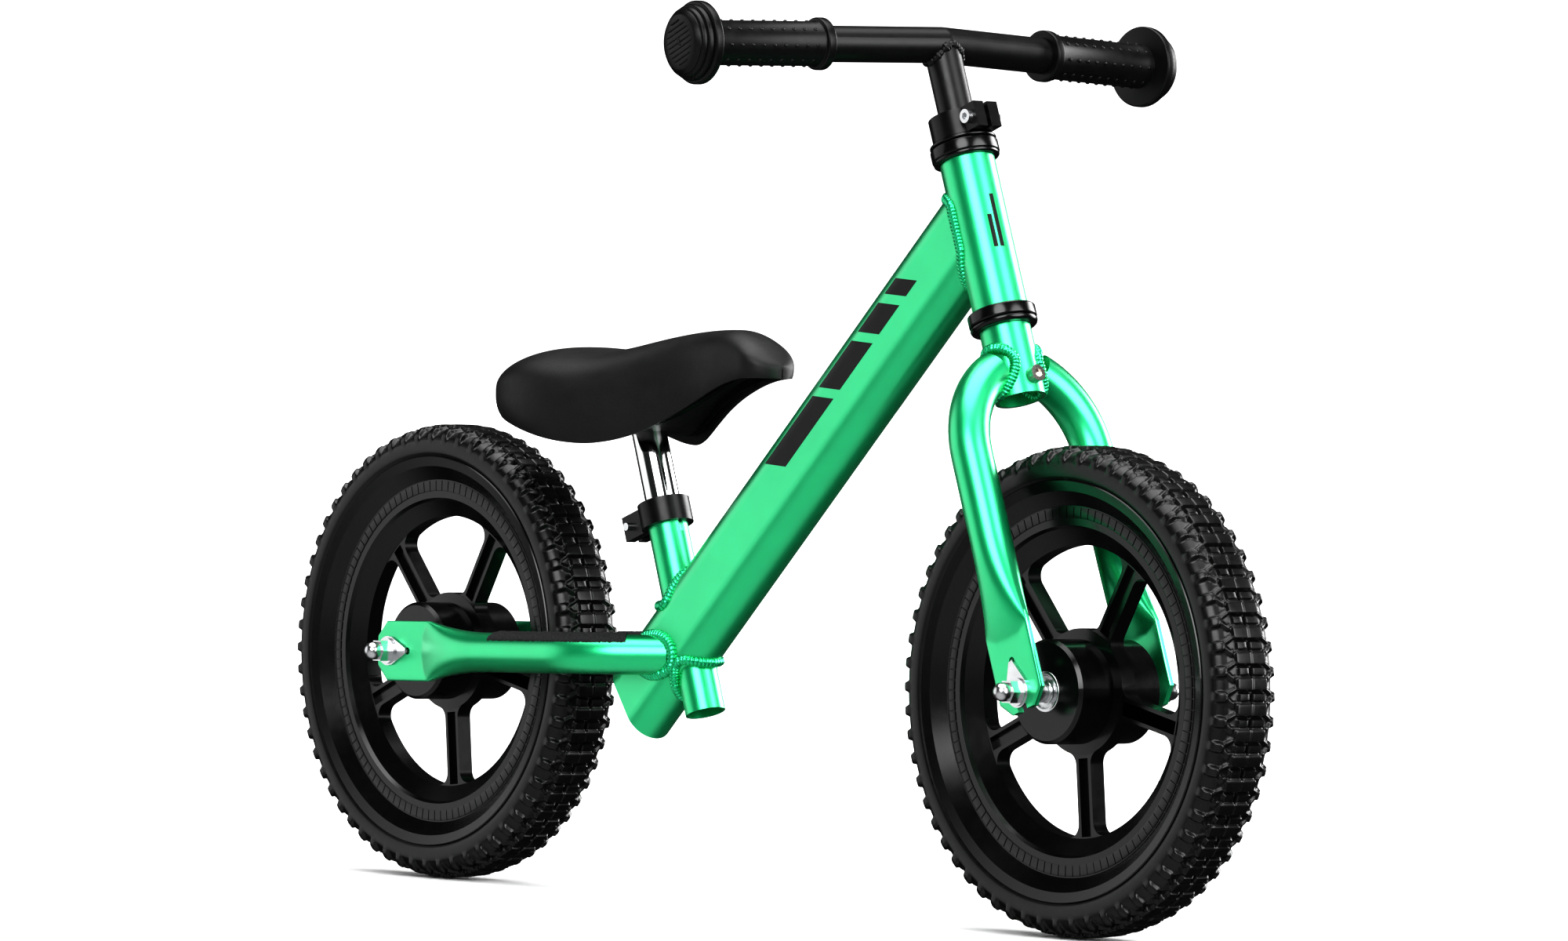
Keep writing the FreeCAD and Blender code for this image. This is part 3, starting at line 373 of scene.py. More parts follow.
def tread_height(a, w, side):
    """How far the tread rises from its floor, 0 to 1, at a along one pitch and w across from the seam."""
    height = np.zeros_like(a)
    for lap in (-PITCH, 0, PITCH):
        at = a + lap
        long_block = rounded_box(at, w, 0.35, 8.65, -4, 12.1, corner=1.6)
        short_start = 1.5 if side < 0 else -4
        short_block = 0.93 * rounded_box(at, w, 9.85, 15.15, short_start, 10.5, corner=0.8)
        shallow = 0.68 * rounded_box(at, w, 14.6, 17, 0.6, 10.5, corner=0.4)
        peg = 0.8 * capsule(at, w, (15.7, 12.7), (15.8, 12.9), 1.1, 1.0)
        knob = rounded_box(at, w, 9.0, 15.9, 17.6, 28.6, corner=2.6, edge=2.2)
        tail = 0.62 * capsule(at, w, (13.2, 18.6), (17.4, 13.4), 1.3, 1.8)
        web = 0.45 * capsule(at, w, (7.6, 12.2), (10.4, 18), 1.2, 1.8)
        for part in (long_block, short_block, shallow, peg, knob, tail, web):
            height = np.maximum(height, part)
    seam = 1 - 0.14 * (1 - smooth(w, 0.2, 0.6))
    return height * seam


def make_tyre(label, centre):
    """Foam tyre: block tread in 60 pitches, scalloped shoulders, smooth sidewalls."""
    around = (np.arange(TREAD_PITCHES)[:, None] * PITCH + AROUND[None]).ravel()
    angle = -around / WHEEL_RADIUS
    a, w = np.meshgrid(AROUND, ACROSS, indexing="ij")
    halves = []
    for side in (-1, 1):
        rise = tread_height(a, w, side)[..., None]
        over = np.stack([np.interp(w, REACH, TOP[:, axis]) for axis in (0, 1)], -1)
        under = np.stack([np.interp(w, REACH, FLOOR[:, axis]) for axis in (0, 1)], -1)
        half = under + (over - under) * rise
        half[..., 0] *= side
        halves.append(half)
    section = np.concatenate([halves[0][:, ::-1], halves[1][:, 1:]], 1)
    section = np.tile(section, (TREAD_PITCHES, 1, 1))
    radius = section[..., 1] + WHEEL_RADIUS
    points = np.stack([radius * np.cos(angle)[:, None], section[..., 0], radius * np.sin(angle)[:, None]], -1)
    tyre = Soup().grid(centre + points * MM, around=True, along=True)
    tyre = tyre.build(label + "_tyre_tread", label + "_wheel", FOAM, "foam_tyre", sharp=50)
    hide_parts(label + "_tyre")


def make_rim_ribs(label, centre):
    """Fine radial pads moulded round the rim's flat ring, on both of its faces."""
    count, gap = 105, 0.55
    inner, outer, face, height, groove = 104.0, 110.6, 14.5, 0.5, -0.2
    chamfer, chamfer_height, sunk = 0.4, 0.35, -0.4
    edges = np.array([0, 0.5, 1.0, 1.4]) * gap / inner
    angle = (np.arange(count)[:, None] * TAU / count + edges[None]).ravel()
    on_pad = np.tile([True, False, False, True], count)
    # Radius and rise of each ring of points, and whether it drops into the gap between two pads.
    rings = [(inner, sunk, False), (inner, chamfer_height, True), (inner + chamfer, height, True),
             (outer - chamfer, height, True), (outer, chamfer_height, True), (outer, sunk, False)]
    soup = Soup()
    for side in (-1, 1):
        rows = []
        for radius, rise, drops in rings:
            out = face + rise * np.where(on_pad | (not drops), 1, groove)
            rows.append(np.stack([radius * np.cos(angle), side * out, radius * np.sin(angle)], -1))
        soup.grid(centre + np.array(rows) * MM, around=True, along=True)
    soup.build(label + "_rim_ribs", label + "_wheel", GLOSS, "gloss_black_plastic")


for label, centre in (("front", FRONT), ("rear", REAR)):
    make_tyre(label, centre)
    make_rim_ribs(label, centre)


# ---------------------------------------------------------------- fork blades and chain stays

# The round tubes and how far out they run; the flat plates at their ends, from the axle's line out to the
# cutters' reach; where the plate ends, its corners' chamfer and where the tube is round again.
TUBE_RADIUS = 12.7
OFFSET = 49.0
PLATE_IN, PLATE_OUT = 49.5, 54.0
PLATE_HALF = 19.5
CUT_IN, CUT_OUT = 40.0, 64.0
PLATE_END = -11.5
CHAMFER = 9.0
TAPER_END = 98.0
BEND_RADIUS = 60.0
STAY_BEND_START, STAY_BEND = 170.0, 45.0
BLADE_BEND_START, BLADE_BEND = 150.0, 62.0
COLUMNS = 64


def flattened_end(along, crease_middle, crease_edge):
    """Sections of a tube squashed flat towards its end: [along, around, (along, y, width)]."""
    angle = np.arange(COLUMNS) * TAU / COLUMNS
    cos, sin = np.cos(angle), np.sin(angle)
    power = 2 / 7
    flat_out = np.sign(cos) * np.abs(cos) ** power
    flat_wide = np.sign(sin) * np.abs(sin) ** power
    rows = []
    for t in along:
        crease = crease_middle + (crease_edge - crease_middle) * np.abs(flat_wide) ** 2
        share = np.clip((t - crease) / (TAPER_END - crease), 0, 1)
        share = 1 - (1 - share) ** 2.1
        half = PLATE_HALF - max(PLATE_END + CHAMFER - t, 0)
        plate_y = (PLATE_IN + PLATE_OUT) / 2 + (PLATE_OUT - PLATE_IN) / 2 * flat_out
        plate_w = half * flat_wide
        seam = np.exp(-((np.abs(sin) - 1) / 0.004) ** 2) * (1 - share) * 0.6
        tube_y = OFFSET + TUBE_RADIUS * cos
        tube_w = TUBE_RADIUS * sin
        y = plate_y + (tube_y - plate_y) * share
        w = plate_w + (tube_w - plate_w) * share
        rows.append(np.stack([np.full(COLUMNS, float(t)), y, w - np.sign(sin) * seam], -1))
    return np.array(rows)


def bent_tube(straight_end, bend_degrees, last_run):
    """Sections of the round part: from the bend's start, curving inwards, then straight for last_run."""
    angle = np.arange(COLUMNS) * TAU / COLUMNS
    rows = []
    for turn in np.radians(np.linspace(0, bend_degrees, 18)):
        sine, cosine = math.sin(turn), math.cos(turn)
        centre = np.array([straight_end + BEND_RADIUS * sine, OFFSET - BEND_RADIUS * (1 - cosine)])
        rows.append((centre, turn))
    if last_run:
        centre, turn = rows[-1]
        rows.append((centre + last_run * np.array([math.cos(turn), -math.sin(turn)]), turn))
    result = []
    for centre, turn in rows:
        out = TUBE_RADIUS * np.cos(angle)
        result.append(np.stack([centre[0] + out * math.sin(turn), centre[1] + out * math.cos(turn),
                                TUBE_RADIUS * np.sin(angle)], -1))
    return np.array(result)


def swap(points, side, upright):
    """From (along, y, width) to local coordinates; upright runs the length up the local z axis."""
    along, y, width = points[..., 0], side * points[..., 1], points[..., 2]
    return np.stack([width, y, along] if upright else [along, y, width], -1)


def carve(obj, cutters):
    """Cuts the given closed grids out of an object."""
    for points in cutters:
        tool = Soup().grid(points, caps=True).build("cutter", "frame", GREEN, "green_paint")
        cut = obj.modifiers.new("cut", "BOOLEAN")
        cut.operation = "DIFFERENCE"
        cut.solver = "EXACT"
        cut.object = tool
        bpy.context.view_layer.update()
        whole = bpy.data.meshes.new_from_object(obj.evaluated_get(bpy.context.evaluated_depsgraph_get()))
        obj.modifiers.clear()
        obj.data = whole
        bpy.data.objects.remove(tool)


def prism(outline, side, local, upright):
    """A closed grid: an (along, width) outline carried across the bike through a plate."""
    rows = []
    for y in (CUT_IN, CUT_OUT):
        rows.append(swap(np.array([(along, y, width) for along, width in outline]), side, upright))
    return local.place(np.array(rows))


def end_cutters(side, local, upright):
    """The axle slot, open at the plate's end, and the small hole for the tab washer."""
    slot_half, tab_at, tab_radius = 4.1, 19.5, 2.4
    half_turn = np.linspace(-math.pi / 2, math.pi / 2, 13)
    slot = [(-30, -slot_half)] + [(slot_half * math.cos(t), slot_half * math.sin(t)) for t in half_turn]
    slot += [(-30, slot_half)]
    full_turn = np.arange(20) * TAU / 20
    hole = [(tab_at + tab_radius * math.cos(t), tab_radius * math.sin(t)) for t in full_turn]
    return [prism(slot, side, local, upright), prism(hole, side, local, upright)]


def make_arm(name, node, body, side, local, upright, crease, straight_end, bend_degrees, last_run):
    """A fork blade or chainstay: flat plate with slot and hole, crimp, round tube, bend."""
    plate = [PLATE_END, PLATE_END + 0.6, -2.5, 0, 6, 12, 18, 24]
    crimp = np.arange(crease[0] - 3, TAPER_END + 1, 1.25).tolist()
    flat = flattened_end(plate + crimp, *crease)
    whole = np.concatenate([flat, bent_tube(straight_end, bend_degrees, last_run)])
    soup = Soup().grid(local.place(swap(whole, side, upright)), caps=True)
    arm = soup.build(name, body, GREEN, "green_paint", sharp=28)
    carve(arm, end_cutters(side, local, upright))
    arm.data.polygons.foreach_set("use_smooth", [True] * len(arm.data.polygons))
    arm.data.set_sharp_from_angle(angle=math.radians(28))
    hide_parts(node)
    return arm


for side, word in ((1, "left"), (-1, "right")):
    make_arm("fork_blade_crimped_" + word, "fork_blade_" + word, "fork", side, STEERING, True,
             crease=(31, 39), straight_end=BLADE_BEND_START, bend_degrees=BLADE_BEND, last_run=0)
    make_arm("chainstay_crimped_" + word, "chainstay_" + word, "frame", side, STAY, False,
             crease=(34, 40), straight_end=STAY_BEND_START, bend_degrees=STAY_BEND, last_run=30)


# ---------------------------------------------------------------- welds

def tree_of(node):
    mesh = frame["nodes"][node].data
    return BVHTree.FromPolygons([v.co[:] for v in mesh.vertices], [p.vertices[:] for p in mesh.polygons])


def meeting_line(rows, node):
    """Where each line of a tube's surface, walked from the first row on, first meets a CAD node."""
    tree = tree_of(node)
    line = []
    for column in range(rows.shape[1]):
        for start, end in zip(rows[:-1, column], rows[1:, column]):
            step = Vector(end - start)
            hit = tree.ray_cast(Vector(start), step.normalized(), step.length)[0]
            if hit:
                line.append(np.array(hit))
                break
    return np.array(line)


def weld(name, line, body, finish=WELD, slot="green_paint", radius=3.5, pitch=2.3, ragged=0.0):
    """A ring of overlapping round beads along a closed line; radius and pitch are in millimetres."""
    rows_to_bead = 6
    points = np.vstack([line, line[:1]])
    lengths = np.concatenate([[0], np.cumsum(np.linalg.norm(np.diff(points, axis=0), axis=1))])
    rows = max(round(lengths[-1] / MM / pitch), 3) * rows_to_bead
    at = np.linspace(0, lengths[-1], rows, endpoint=False)
    path = np.stack([np.interp(at, lengths, points[:, axis]) for axis in range(3)], -1)
    path = (path + np.roll(path, 1, 0) + np.roll(path, -1, 0)) / 3
    phase = np.arange(rows) % rows_to_bead / rows_to_bead
    swell = 0.84 + 0.16 * np.sqrt(np.sin(math.pi * np.clip(phase * 1.15, 0, 1)))
    wander = np.array([noise.noise(Vector(p) * 400) for p in path])
    thick = radius * MM * swell * (1 + (0.10 + ragged) * wander)
    ahead = np.roll(path, -1, 0) - np.roll(path, 1, 0)
    ahead /= np.linalg.norm(ahead, axis=1)[:, None]
    side = np.cross(ahead, [0.31, 0.05, 0.95])
    side /= np.linalg.norm(side, axis=1)[:, None]
    other = np.cross(ahead, side)
    angle = np.arange(14) * TAU / 14
    ring = side[:, None] * np.cos(angle)[:, None] + other[:, None] * np.sin(angle)[:, None]
    bead = Soup().grid(path[:, None] + ring * thick[:, None, None], along=True)
    bead.build(name, body, finish, slot, sharp=60)


def straight_rows(local, section, low, high):
    """A prism's first and last row along the local z axis, its (x, y) section given."""
    rows = [np.column_stack([section, np.full(len(section), float(z))]) for z in (low, high)]
    return local.place(np.array(rows))


def circle(radius):
    angle = np.arange(96) * TAU / 96
    return np.column_stack([radius * np.cos(angle), radius * np.sin(angle)])


def oval_section(half_wide, half_tall):
    """The down tube's outline: flat sides, round top and bottom, as (x, y)."""
    reach = half_tall - half_wide
    angle = np.arange(120) * TAU / 120
    long_way = half_wide * np.cos(angle) + reach * np.sign(np.cos(angle))
    return np.column_stack([long_way, half_wide * np.sin(angle)])


line = meeting_line(straight_rows(DOWN, oval_section(16.2, 27.7), 330, 460), "head_tube")
weld("weld_head_tube", line, "frame")
# The seat tube's welds stand outside its wall, clear of the post that slides inside it.
line = meeting_line(straight_rows(SEAT_TUBE, circle(15.1), 130, 0), "down_tube")
weld("weld_seat_tube_top", line, "frame", radius=3.4)
line = meeting_line(straight_rows(SEAT_TUBE, circle(15.1), -12, 100), "down_tube")
weld("weld_seat_tube_foot", line, "frame", radius=3.4)
for side, word in ((1, "left"), (-1, "right")):
    stay = STAY.place(swap(bent_tube(STAY_BEND_START, STAY_BEND, 40), side, False))
    weld("weld_stay_" + word, meeting_line(stay, "down_tube"), "frame", radius=3.8)
    blade = STEERING.place(swap(bent_tube(BLADE_BEND_START, 72, 0), side, True))
    weld("weld_crown_" + word, meeting_line(blade, "fork_steerer"), "fork", radius=3.5, pitch=2.1)
line = meeting_line(straight_rows(STEERING, circle(10.4), 380, 417), "crossbar")
weld("weld_stem", line, "handlebar", BLACK_WELD, "satin_black", radius=2.6, pitch=2.2, ragged=0.35)


# ---------------------------------------------------------------- headset

# (radius, height up the steering frame) of each ring's section.
LOWER_CUP = [(15.4, 235.4), (15.4, 243), (19.9, 243.1), (21, 242.2), (21, 236), (20.4, 235.2)]
CROWN_RACE = [(12.9, 231.4), (12.9, 234.7), (20, 234.8), (20.8, 234.4), (20.8, 233.2), (20.2, 231.8),
              (19.4, 231.3)]
UPPER_CUP = [(15.4, 340.3), (19.3, 340.2), (20.4, 340.8), (20.5, 342.1), (20.1, 342.5), (21, 342.9),
             (21, 349.4), (20.3, 350.2), (15.4, 350.1)]
TOP_RACE = [(12.9, 350.8), (20.1, 350.8), (20.6, 351.3), (20.6, 352.4), (19.6, 353.2), (12.9, 353.2)]
for node, profile, body in (
    ("headset_lower_cup", LOWER_CUP, "frame"),
    ("headset_crown_race", CROWN_RACE, "fork"),
    ("headset_upper_cup", UPPER_CUP, "frame"),
    ("headset_top_race", TOP_RACE, "fork"),
):
    ring = Soup().grid(lathe(STEERING, rounded(profile, 0.35), 128), along=True)
    ring = ring.build(node + "_turned", body, COLLAR, "headset_black", sharp=50)
    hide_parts(node)


# ---------------------------------------------------------------- grips

BAR_HEIGHT = 416.5
SWEEP = math.radians(5.2)


def along_bar(points, side):
    """From (distance out along the bar, forward, up) to the row frame."""
    points = np.asarray(points, float)
    out, forward, up = points[..., 0], points[..., 1], points[..., 2]
    x = -out * math.sin(SWEEP) + forward * math.cos(SWEEP)
    y = side * (out * math.cos(SWEEP) + forward * math.sin(SWEEP))
    return STEERING.place(np.stack([x, y, up + BAR_HEIGHT], -1))


# (distance out along the bar, radius) of the grip.
GRIP_OUTLINE = [(88, 11.2), (88, 15.2), (88.7, 16), (93.2, 16), (94, 15.5), (94.4, 13.6), (176.6, 13.6),
                (177, 24.4), (177.8, 25.2), (181.8, 25.2), (182.6, 24.6), (183, 22.3), (183.5, 23.2),
                (186.2, 22.7), (186.8, 20.8), (187.3, 21.5), (189.6, 20.8), (190.1, 19.4), (190.8, 19.6),
                (193.0, 16.9), (193.4, 16.2)]


GRIP_END = GRIP_OUTLINE[-1][0]


def make_grip(side, word):
    """Rubber grip: collar, sleeve with rows of small bumps, flange, stepped end with a ribbed face."""
    soup = Soup()
    ends = 3
    fine = rounded(GRIP_OUTLINE, 0.5)[ends:-ends]
    outline = [(88.2, 11.2)] + fine + [(GRIP_END, 8), (GRIP_END, 0.01)]
    angle = np.arange(96) * TAU / 96
    rows = [[(out, radius * math.cos(t), radius * math.sin(t)) for t in angle] for out, radius in outline]
    soup.grid(along_bar(rows, side), caps=True)
    bump_foot, bump_tip, bump_start, bump_pitch = 13.5, 15, 101, 7.9
    for row in range(8):
        turn = math.radians(18 + 45 * row)
        for number in range(10):
            out = bump_start + bump_pitch * number
            foot = along_bar((out, bump_foot * math.cos(turn), bump_foot * math.sin(turn)), side)
            tip = along_bar((out, bump_tip * math.cos(turn), bump_tip * math.sin(turn)), side)
            soup.grid(dome(foot, tip - foot, 1.25 * MM, 0.85 * MM), caps=True)
    # Nine ribs across the round end, and one short rib over their middle.
    rib_at, rib_pitch, rib_field = 193.35, 3.2, 14.2
    for number in range(9):
        up = (number - 4) * rib_pitch
        half = math.sqrt(rib_field ** 2 - up ** 2) - 1.2
        reach = np.linspace(-half, half, 9)
        path = along_bar([(rib_at, forward, up) for forward in reach], side)
        thick = 0.62 * MM * np.sqrt(np.clip(1.02 - np.abs(reach / half) ** 6, 0.05, 1))
        soup.grid(tube(path, thick, 8), caps=True)
    path = along_bar([(rib_at, 0, up) for up in np.linspace(-3.6, 3.6, 7)], side)
    soup.grid(tube(path, 0.64 * MM, 8), caps=True)
    grip = soup.build("grip_moulded_" + word, "handlebar", RUBBER, "grip_rubber", sharp=45)
    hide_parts("grip_" + word)


make_grip(1, "left")
make_grip(-1, "right")


# ---------------------------------------------------------------- saddle

REAR_X, REAR_RADIUS, NOSE_X, NOSE_RADIUS = -171.0, 63.0, -3.0, 20.0
# Heights of the crest and the rim, and where each rise, fall and dip lies along the saddle. The fall at the rear
# starts ahead of REAR_X, so REAR_ROUND is below zero.
SADDLE_TOP, SADDLE_RISE, RISE_START = 347.5, 12.5, -155.0
NOSE_ROUND, NOSE_DROOP = 22.0, 0.0125
REAR_ROUND, REAR_DROOP = -4.0, 0.0065
DIP, DIP_X, DIP_REACH = 2.5, -125.0, 30.0
RIM_LOW, RIM_REAR, RIM_NOSE, RIM_REACH = 286.0, 17.0, 44.0, 105.0


def saddle_half(x):
    """Half-width of the saddle from above: round rear, smooth waist, round nose."""
    if x < REAR_X:
        return math.sqrt(max(REAR_RADIUS ** 2 - (x - REAR_X) ** 2, 0))
    if x > NOSE_X:
        return math.sqrt(max(NOSE_RADIUS ** 2 - (x - NOSE_X) ** 2, 0))
    share = min((x - REAR_X) / (NOSE_X - REAR_X) / 0.8, 1)
    return NOSE_RADIUS + (REAR_RADIUS - NOSE_RADIUS) * (0.5 + 0.5 * math.cos(math.pi * share))


def eased(share):
    """Goes smoothly from 0 to 1 as share does."""
    return 0.5 - 0.5 * math.cos(math.pi * min(max(share, 0), 1))


def saddle_top(x):
    """Height of the saddle's crest: it rises to the nose, dips over the post and falls away at both ends."""
    high_x = NOSE_X - NOSE_ROUND
    rise = SADDLE_RISE * eased((x - RISE_START) / (high_x - RISE_START))
    nose_fall = max(x - high_x, 0) ** 2 * NOSE_DROOP
    rear_fall = max(REAR_X - REAR_ROUND - x, 0) ** 2 * REAR_DROOP
    dip = DIP * math.exp(-((x - DIP_X) / DIP_REACH) ** 2)
    return SADDLE_TOP + rise - nose_fall - rear_fall - dip


def saddle_rim(x):
    """Height of the saddle's lower rim: lowest beside the post, higher at the rear and the nose."""
    if x < DIP_X:
        return RIM_LOW + RIM_REAR * eased((DIP_X - x) / RIM_REACH)
    return RIM_LOW + RIM_NOSE * eased((x - DIP_X) / (NOSE_X - DIP_X + 10))


def make_saddle():
    """The padded cover: a crowned shell open underneath, its rim turned in over the black base."""
    count = 120
    low, high = REAR_X - REAR_RADIUS, NOSE_X + NOSE_RADIUS
    places = (low + high) / 2 - (high - low) / 2 * np.cos(np.pi * (np.arange(count) + 0.5) / count)
    rows = []
    power = 2 / 2.35
    tuck = 0.1
    for x in places:
        half, top, rim = saddle_half(x), saddle_top(x), saddle_rim(x)
        centre, tall = (top + rim) / 2, (top - rim) / 2
        row = []
        for angle in np.linspace(math.pi, 0, 49):
            across, up = math.cos(angle), math.sin(angle)
            out = half * math.copysign(abs(across) ** power, across)
            row.append((x, out, centre + tall * abs(up) ** power))
        down = np.linspace(0, 1, 9)[1:]
        lower = [(x, half * (1 - tuck * share ** 3), centre - (centre - rim) * share) for share in down]
        edge = half * (1 - tuck)
        inner = [(x, max(edge - 2.2, 0.4), rim + 0.3), (x, max(edge - 3, 0.3), rim + 6)]
        right = lower + inner
        left = [(px, -py, pz) for px, py, pz in right][::-1]
        rows.append(left + row + right)
    cover = Soup().grid(WHOLE.place(np.array(rows)), caps=True)
    cover = cover.build("saddle_padded_cover", "seat", VINYL, "saddle_vinyl", sharp=60)
    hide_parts("saddle_cover")


make_saddle()


# ---------------------------------------------------------------- plain decals

def side_of_down_tube(x):
    """Half-thickness of the down tube at x across it."""
    beyond = max(abs(x) - 11.5, 0)
    return math.sqrt(16.5 ** 2 - beyond ** 2)


def make_down_tube_bars(side, word):
    """Plain slanted bars along the side of the down tube, each shorter than the one before."""
    soup = Soup()
    start, gap = 205.0, 8
    low, high, slant = -16.5, -1.0, 14.0
    proud, sunk = 0.12, -0.3
    for length in (62, 42, 26, 14):
        skins = []
        for lift in (proud, sunk):
            skin = []
            for share in np.linspace(0, 1, 15):
                x = low + (high - low) * share
                foot = start + slant * share
                y = side * (side_of_down_tube(x) + lift)
                skin.append([(x, y, z) for z in np.linspace(foot, foot + length, 12)])
            skins.append(skin)
        soup.grid(DOWN.place(np.array(skins[0] + skins[1][::-1])), around=False, along=True)
        start += length + gap
    soup.build("down_tube_bars_" + word, "frame", DECAL, "green_paint")


make_down_tube_bars(1, "left")
make_down_tube_bars(-1, "right")


def make_head_tube_bars():
    """Two plain upright bars on the front of the head tube."""
    soup = Soup()
    outer, inner, half_turn = 17.1, 16.7, 4.5
    for turn, low, high in ((-22, 279, 300), (-8, 279, 313)):
        angle = np.radians(np.linspace(turn - half_turn, turn + half_turn, 6))
        heights = np.linspace(low, high, 5)
        rows = [[(radius * math.cos(t), radius * math.sin(t), z) for t in angle]
                for radius, span in ((outer, heights), (inner, heights[::-1])) for z in span]
        soup.grid(STEERING.place(np.array(rows)), around=False, along=True)
    soup.build("head_tube_bars", "frame", DECAL, "green_paint")


make_head_tube_bars()


# ---------------------------------------------------------------- bearings, clamps and grit strips

# (radius, distance out from the wheel's middle) of a bearing's section.
BEARING_FACE = [(4.1, 26), (4.1, 33.4), (5.2, 33.5), (6.3, 33.5), (6.4, 32.9), (7.0, 32.7), (9.7, 32.8),
                (9.9, 33.3), (10.9, 33.5), (12.1, 33.4), (12.4, 33.1), (12.4, 32.55), (11, 32.5), (11, 26)]


def make_bearings(label, centre):
    """Shielded ball bearings at both ends of a hub: inner ring, recessed shield and outer ring."""
    soup = Soup()
    for side in (1, -1):
        profile = [(radius, side * out) for radius, out in rounded(BEARING_FACE, 0.2)]
        soup.grid(lathe(Local(centre, 0), profile, 72, axis="y"), along=True)
    rings = soup.build(label + "_bearing_rings", label + "_wheel", ZINC, "zinc_steel", sharp=40)
    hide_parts(label + "_bearings")


make_bearings("front", FRONT)
make_bearings("rear", REAR)


def soften(node, width):
    """Rounds the edges of a CAD node."""
    bevel = frame["nodes"][node].modifiers.new("soft_edges", "BEVEL")
    bevel.width = width * MM
    bevel.segments = 3
    bevel.limit_method = "ANGLE"
    bevel.angle_limit = math.radians(35)
    bevel.harden_normals = True


for node in ("stem_clamp", "seat_clamp"):
    soften(node, 0.5)


def make_grit_strip(side, word):
    """Gritty strip over the top of a stay: a rough skin that ends in ragged edges."""
    start, step, floor, thick, sunk = 110, 0.8, 8.6, 1.5, 0.3
    half = math.acos(floor / (TUBE_RADIUS + thick))
    bend = np.radians(np.arange(0, STAY_BEND, step))
    path = [(x, OFFSET, 0.0) for x in np.arange(start, STAY_BEND_START, step)]
    path += [(STAY_BEND_START + BEND_RADIUS * math.sin(t), OFFSET - BEND_RADIUS * (1 - math.cos(t)), t)
             for t in bend]
    end_x, end_y, end_turn = path[-1]
    path += [(end_x + run * math.cos(end_turn), end_y - run * math.sin(end_turn), end_turn)
             for run in step * np.arange(1, 6)]
    around = np.linspace(-half, half, 26)
    rows = []
    for x, y, turn in path:

        def point(radius, angle):
            out, up = radius * math.sin(angle), radius * math.cos(angle)
            return x + out * math.sin(turn), side * (y + out * math.cos(turn)), up

        row = []
        for t in around:
            at_edge = abs(t) > half - 0.01
            ragged = 1 - 0.08 * noise.noise(Vector((x * 1.7, side * y, t * 3)))
            rough = 0.45 + 0.55 * noise.cell(Vector((x * 1.9, side * y * 1.9, t * 16)))
            row.append(point(TUBE_RADIUS + (0.02 if at_edge else thick * (0.55 + 0.42 * rough)), t * ragged))
        rows.append(row + [point(TUBE_RADIUS - sunk, t) for t in around[::-1]])
    strip = Soup().grid(STAY.place(np.array(rows)), caps=True)
    strip = strip.build("grit_strip_" + word, "frame", GRIT, "grip_strip", sharp=180)
    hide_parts("foot_grip_" + word)


make_grit_strip(1, "left")
make_grit_strip(-1, "right")


# ---------------------------------------------------------------- stage, camera, lights

# Softboxes round the studio: heading in degrees from X, rise of the aim, cosines of the angles at which the
# panel starts and is full, strength.
SOFTBOXES = ((-52, 0.5, 0.93, 0.975, 6.5), (12, 0.3, 0.88, 0.96, 5.5), (-143, 0.12, 0.84, 0.95, 1.0),
             (84, 0.2, 0.93, 0.98, 8.0), (-75, -1.3, 0.4, 0.9, 0.55))


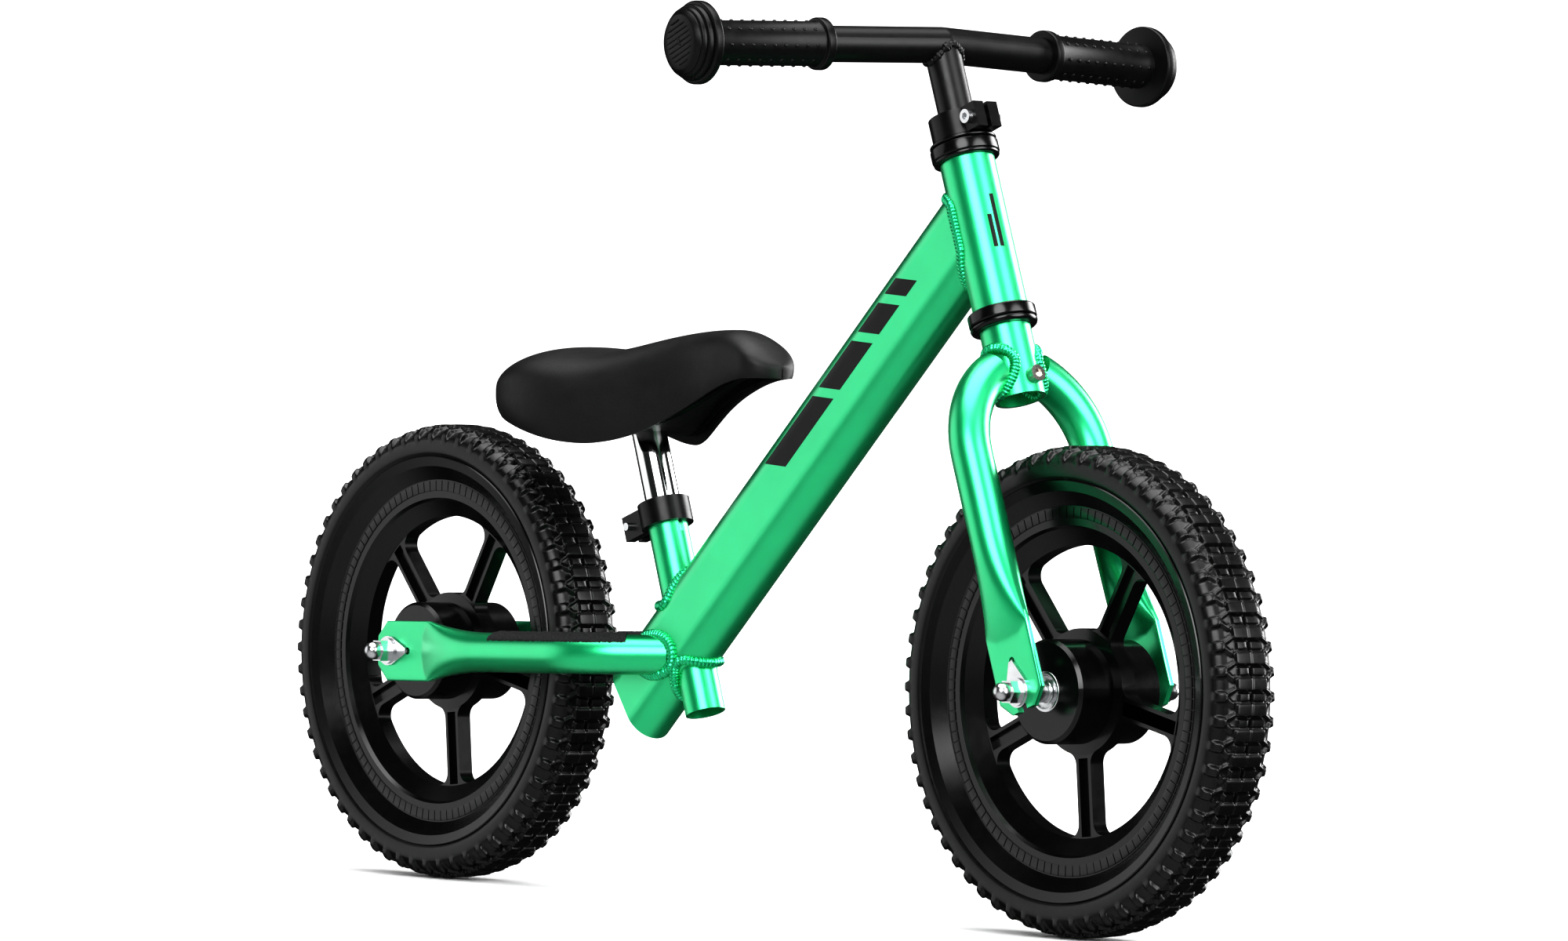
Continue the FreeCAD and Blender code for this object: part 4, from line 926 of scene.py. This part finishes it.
def make_stage():
    """A plain pale floor, and a world that is white to the camera and lights the bike with soft panels."""
    floor_mesh = bpy.data.meshes.new("floor")
    half = 60.0
    corners = [(-half, -half, 0), (half, -half, 0), (half, half, 0), (-half, half, 0)]
    floor_mesh.from_pydata(corners, [], [(0, 1, 2, 3)])
    floor = bpy.data.objects.new("floor", floor_mesh)
    bpy.context.scene.collection.objects.link(floor)
    floor.location.z = -0.0005
    floor_mesh.materials.append(material("plain_pale_floor", (0.86, 0.86, 0.86), 0.6, tint=0.01, patch=2,
                                         grain=50, bump=0.02, specular=0.1))
    # Glossy surfaces see the panels below the horizon, not the bright floor.
    floor.visible_glossy = False

    world = bpy.data.worlds.new("pale_studio")
    world.use_nodes = True
    nodes, links = world.node_tree.nodes, world.node_tree.links
    direction = nodes.new("ShaderNodeTexCoord").outputs["Generated"]

    def sum_of(first, second, operation="ADD"):
        node = nodes.new("ShaderNodeMath")
        node.operation = operation
        for socket, value in zip(node.inputs, (first, second)):
            if isinstance(value, float):
                socket.default_value = value
            else:
                links.new(value, socket)
        return node.outputs["Value"]

    def softbox(heading, rise, low, high, strength):
        """A soft-edged panel of light: it starts at cosine low round its direction and is full at high."""
        turn = math.radians(heading)
        aim = Vector((math.cos(turn), math.sin(turn), rise)).normalized()
        dot = nodes.new("ShaderNodeVectorMath")
        dot.operation = "DOT_PRODUCT"
        dot.inputs[1].default_value = aim
        links.new(direction, dot.inputs[0])
        edge = nodes.new("ShaderNodeMapRange")
        edge.interpolation_type = "SMOOTHSTEP"
        edge.inputs["From Min"].default_value = low
        edge.inputs["From Max"].default_value = high
        edge.inputs["To Max"].default_value = strength
        links.new(dot.outputs["Value"], edge.inputs["Value"])
        return edge.outputs["Result"]

    panels = softbox(0, 90, 0.8, 0.97, 1.4)
    for heading, rise, low, high, strength in SOFTBOXES:
        panels = sum_of(panels, softbox(heading, rise, low, high, strength))
    studio = sum_of(panels, 0.03)
    seen = nodes.new("ShaderNodeLightPath").outputs["Is Camera Ray"]
    nodes["Background"].inputs["Color"].default_value = (1, 1, 1, 1)
    links.new(sum_of(studio, seen, "MAXIMUM"), nodes["Background"].inputs["Strength"])
    bpy.context.scene.world = world


def make_camera():
    azimuth, elevation, roll, distance = math.radians(50.33), math.radians(0.61), math.radians(1.45), 5.65544
    target = Vector((0.02095, 0, 0.27293))
    back = Vector((math.sin(azimuth) * math.cos(elevation), -math.cos(azimuth) * math.cos(elevation),
                   math.sin(elevation)))
    right = (-back).cross(Vector((0, 0, 1))).normalized()
    up = right.cross(-back)
    rolled_right = right * math.cos(roll) + up * math.sin(roll)
    rolled_up = up * math.cos(roll) - right * math.sin(roll)
    data = bpy.data.cameras.new("camera")
    data.sensor_width = 36
    data.lens = 208.31
    data.clip_end = 300
    camera = bpy.data.objects.new("camera", data)
    bpy.context.scene.collection.objects.link(camera)
    camera.matrix_world = Matrix((
        (rolled_right.x, rolled_up.x, back.x, 0),
        (rolled_right.y, rolled_up.y, back.y, 0),
        (rolled_right.z, rolled_up.z, back.z, 0),
        (0, 0, 0, 1),
    ))
    camera.location = target + back * distance
    bpy.context.scene.camera = camera


def make_overhead():
    """A very wide soft source straight above, which keeps the floor pale."""
    data = bpy.data.lights.new("overhead", "SUN")
    data.angle = math.radians(70)
    data.energy = 2.6
    lamp = bpy.data.objects.new("overhead", data)
    bpy.context.scene.collection.objects.link(lamp)
    lamp.location.z = 3


make_stage()
make_camera()
make_overhead()
bpy.context.scene.view_settings.view_transform = "Standard"
bpy.context.scene.view_settings.look = "High Contrast"
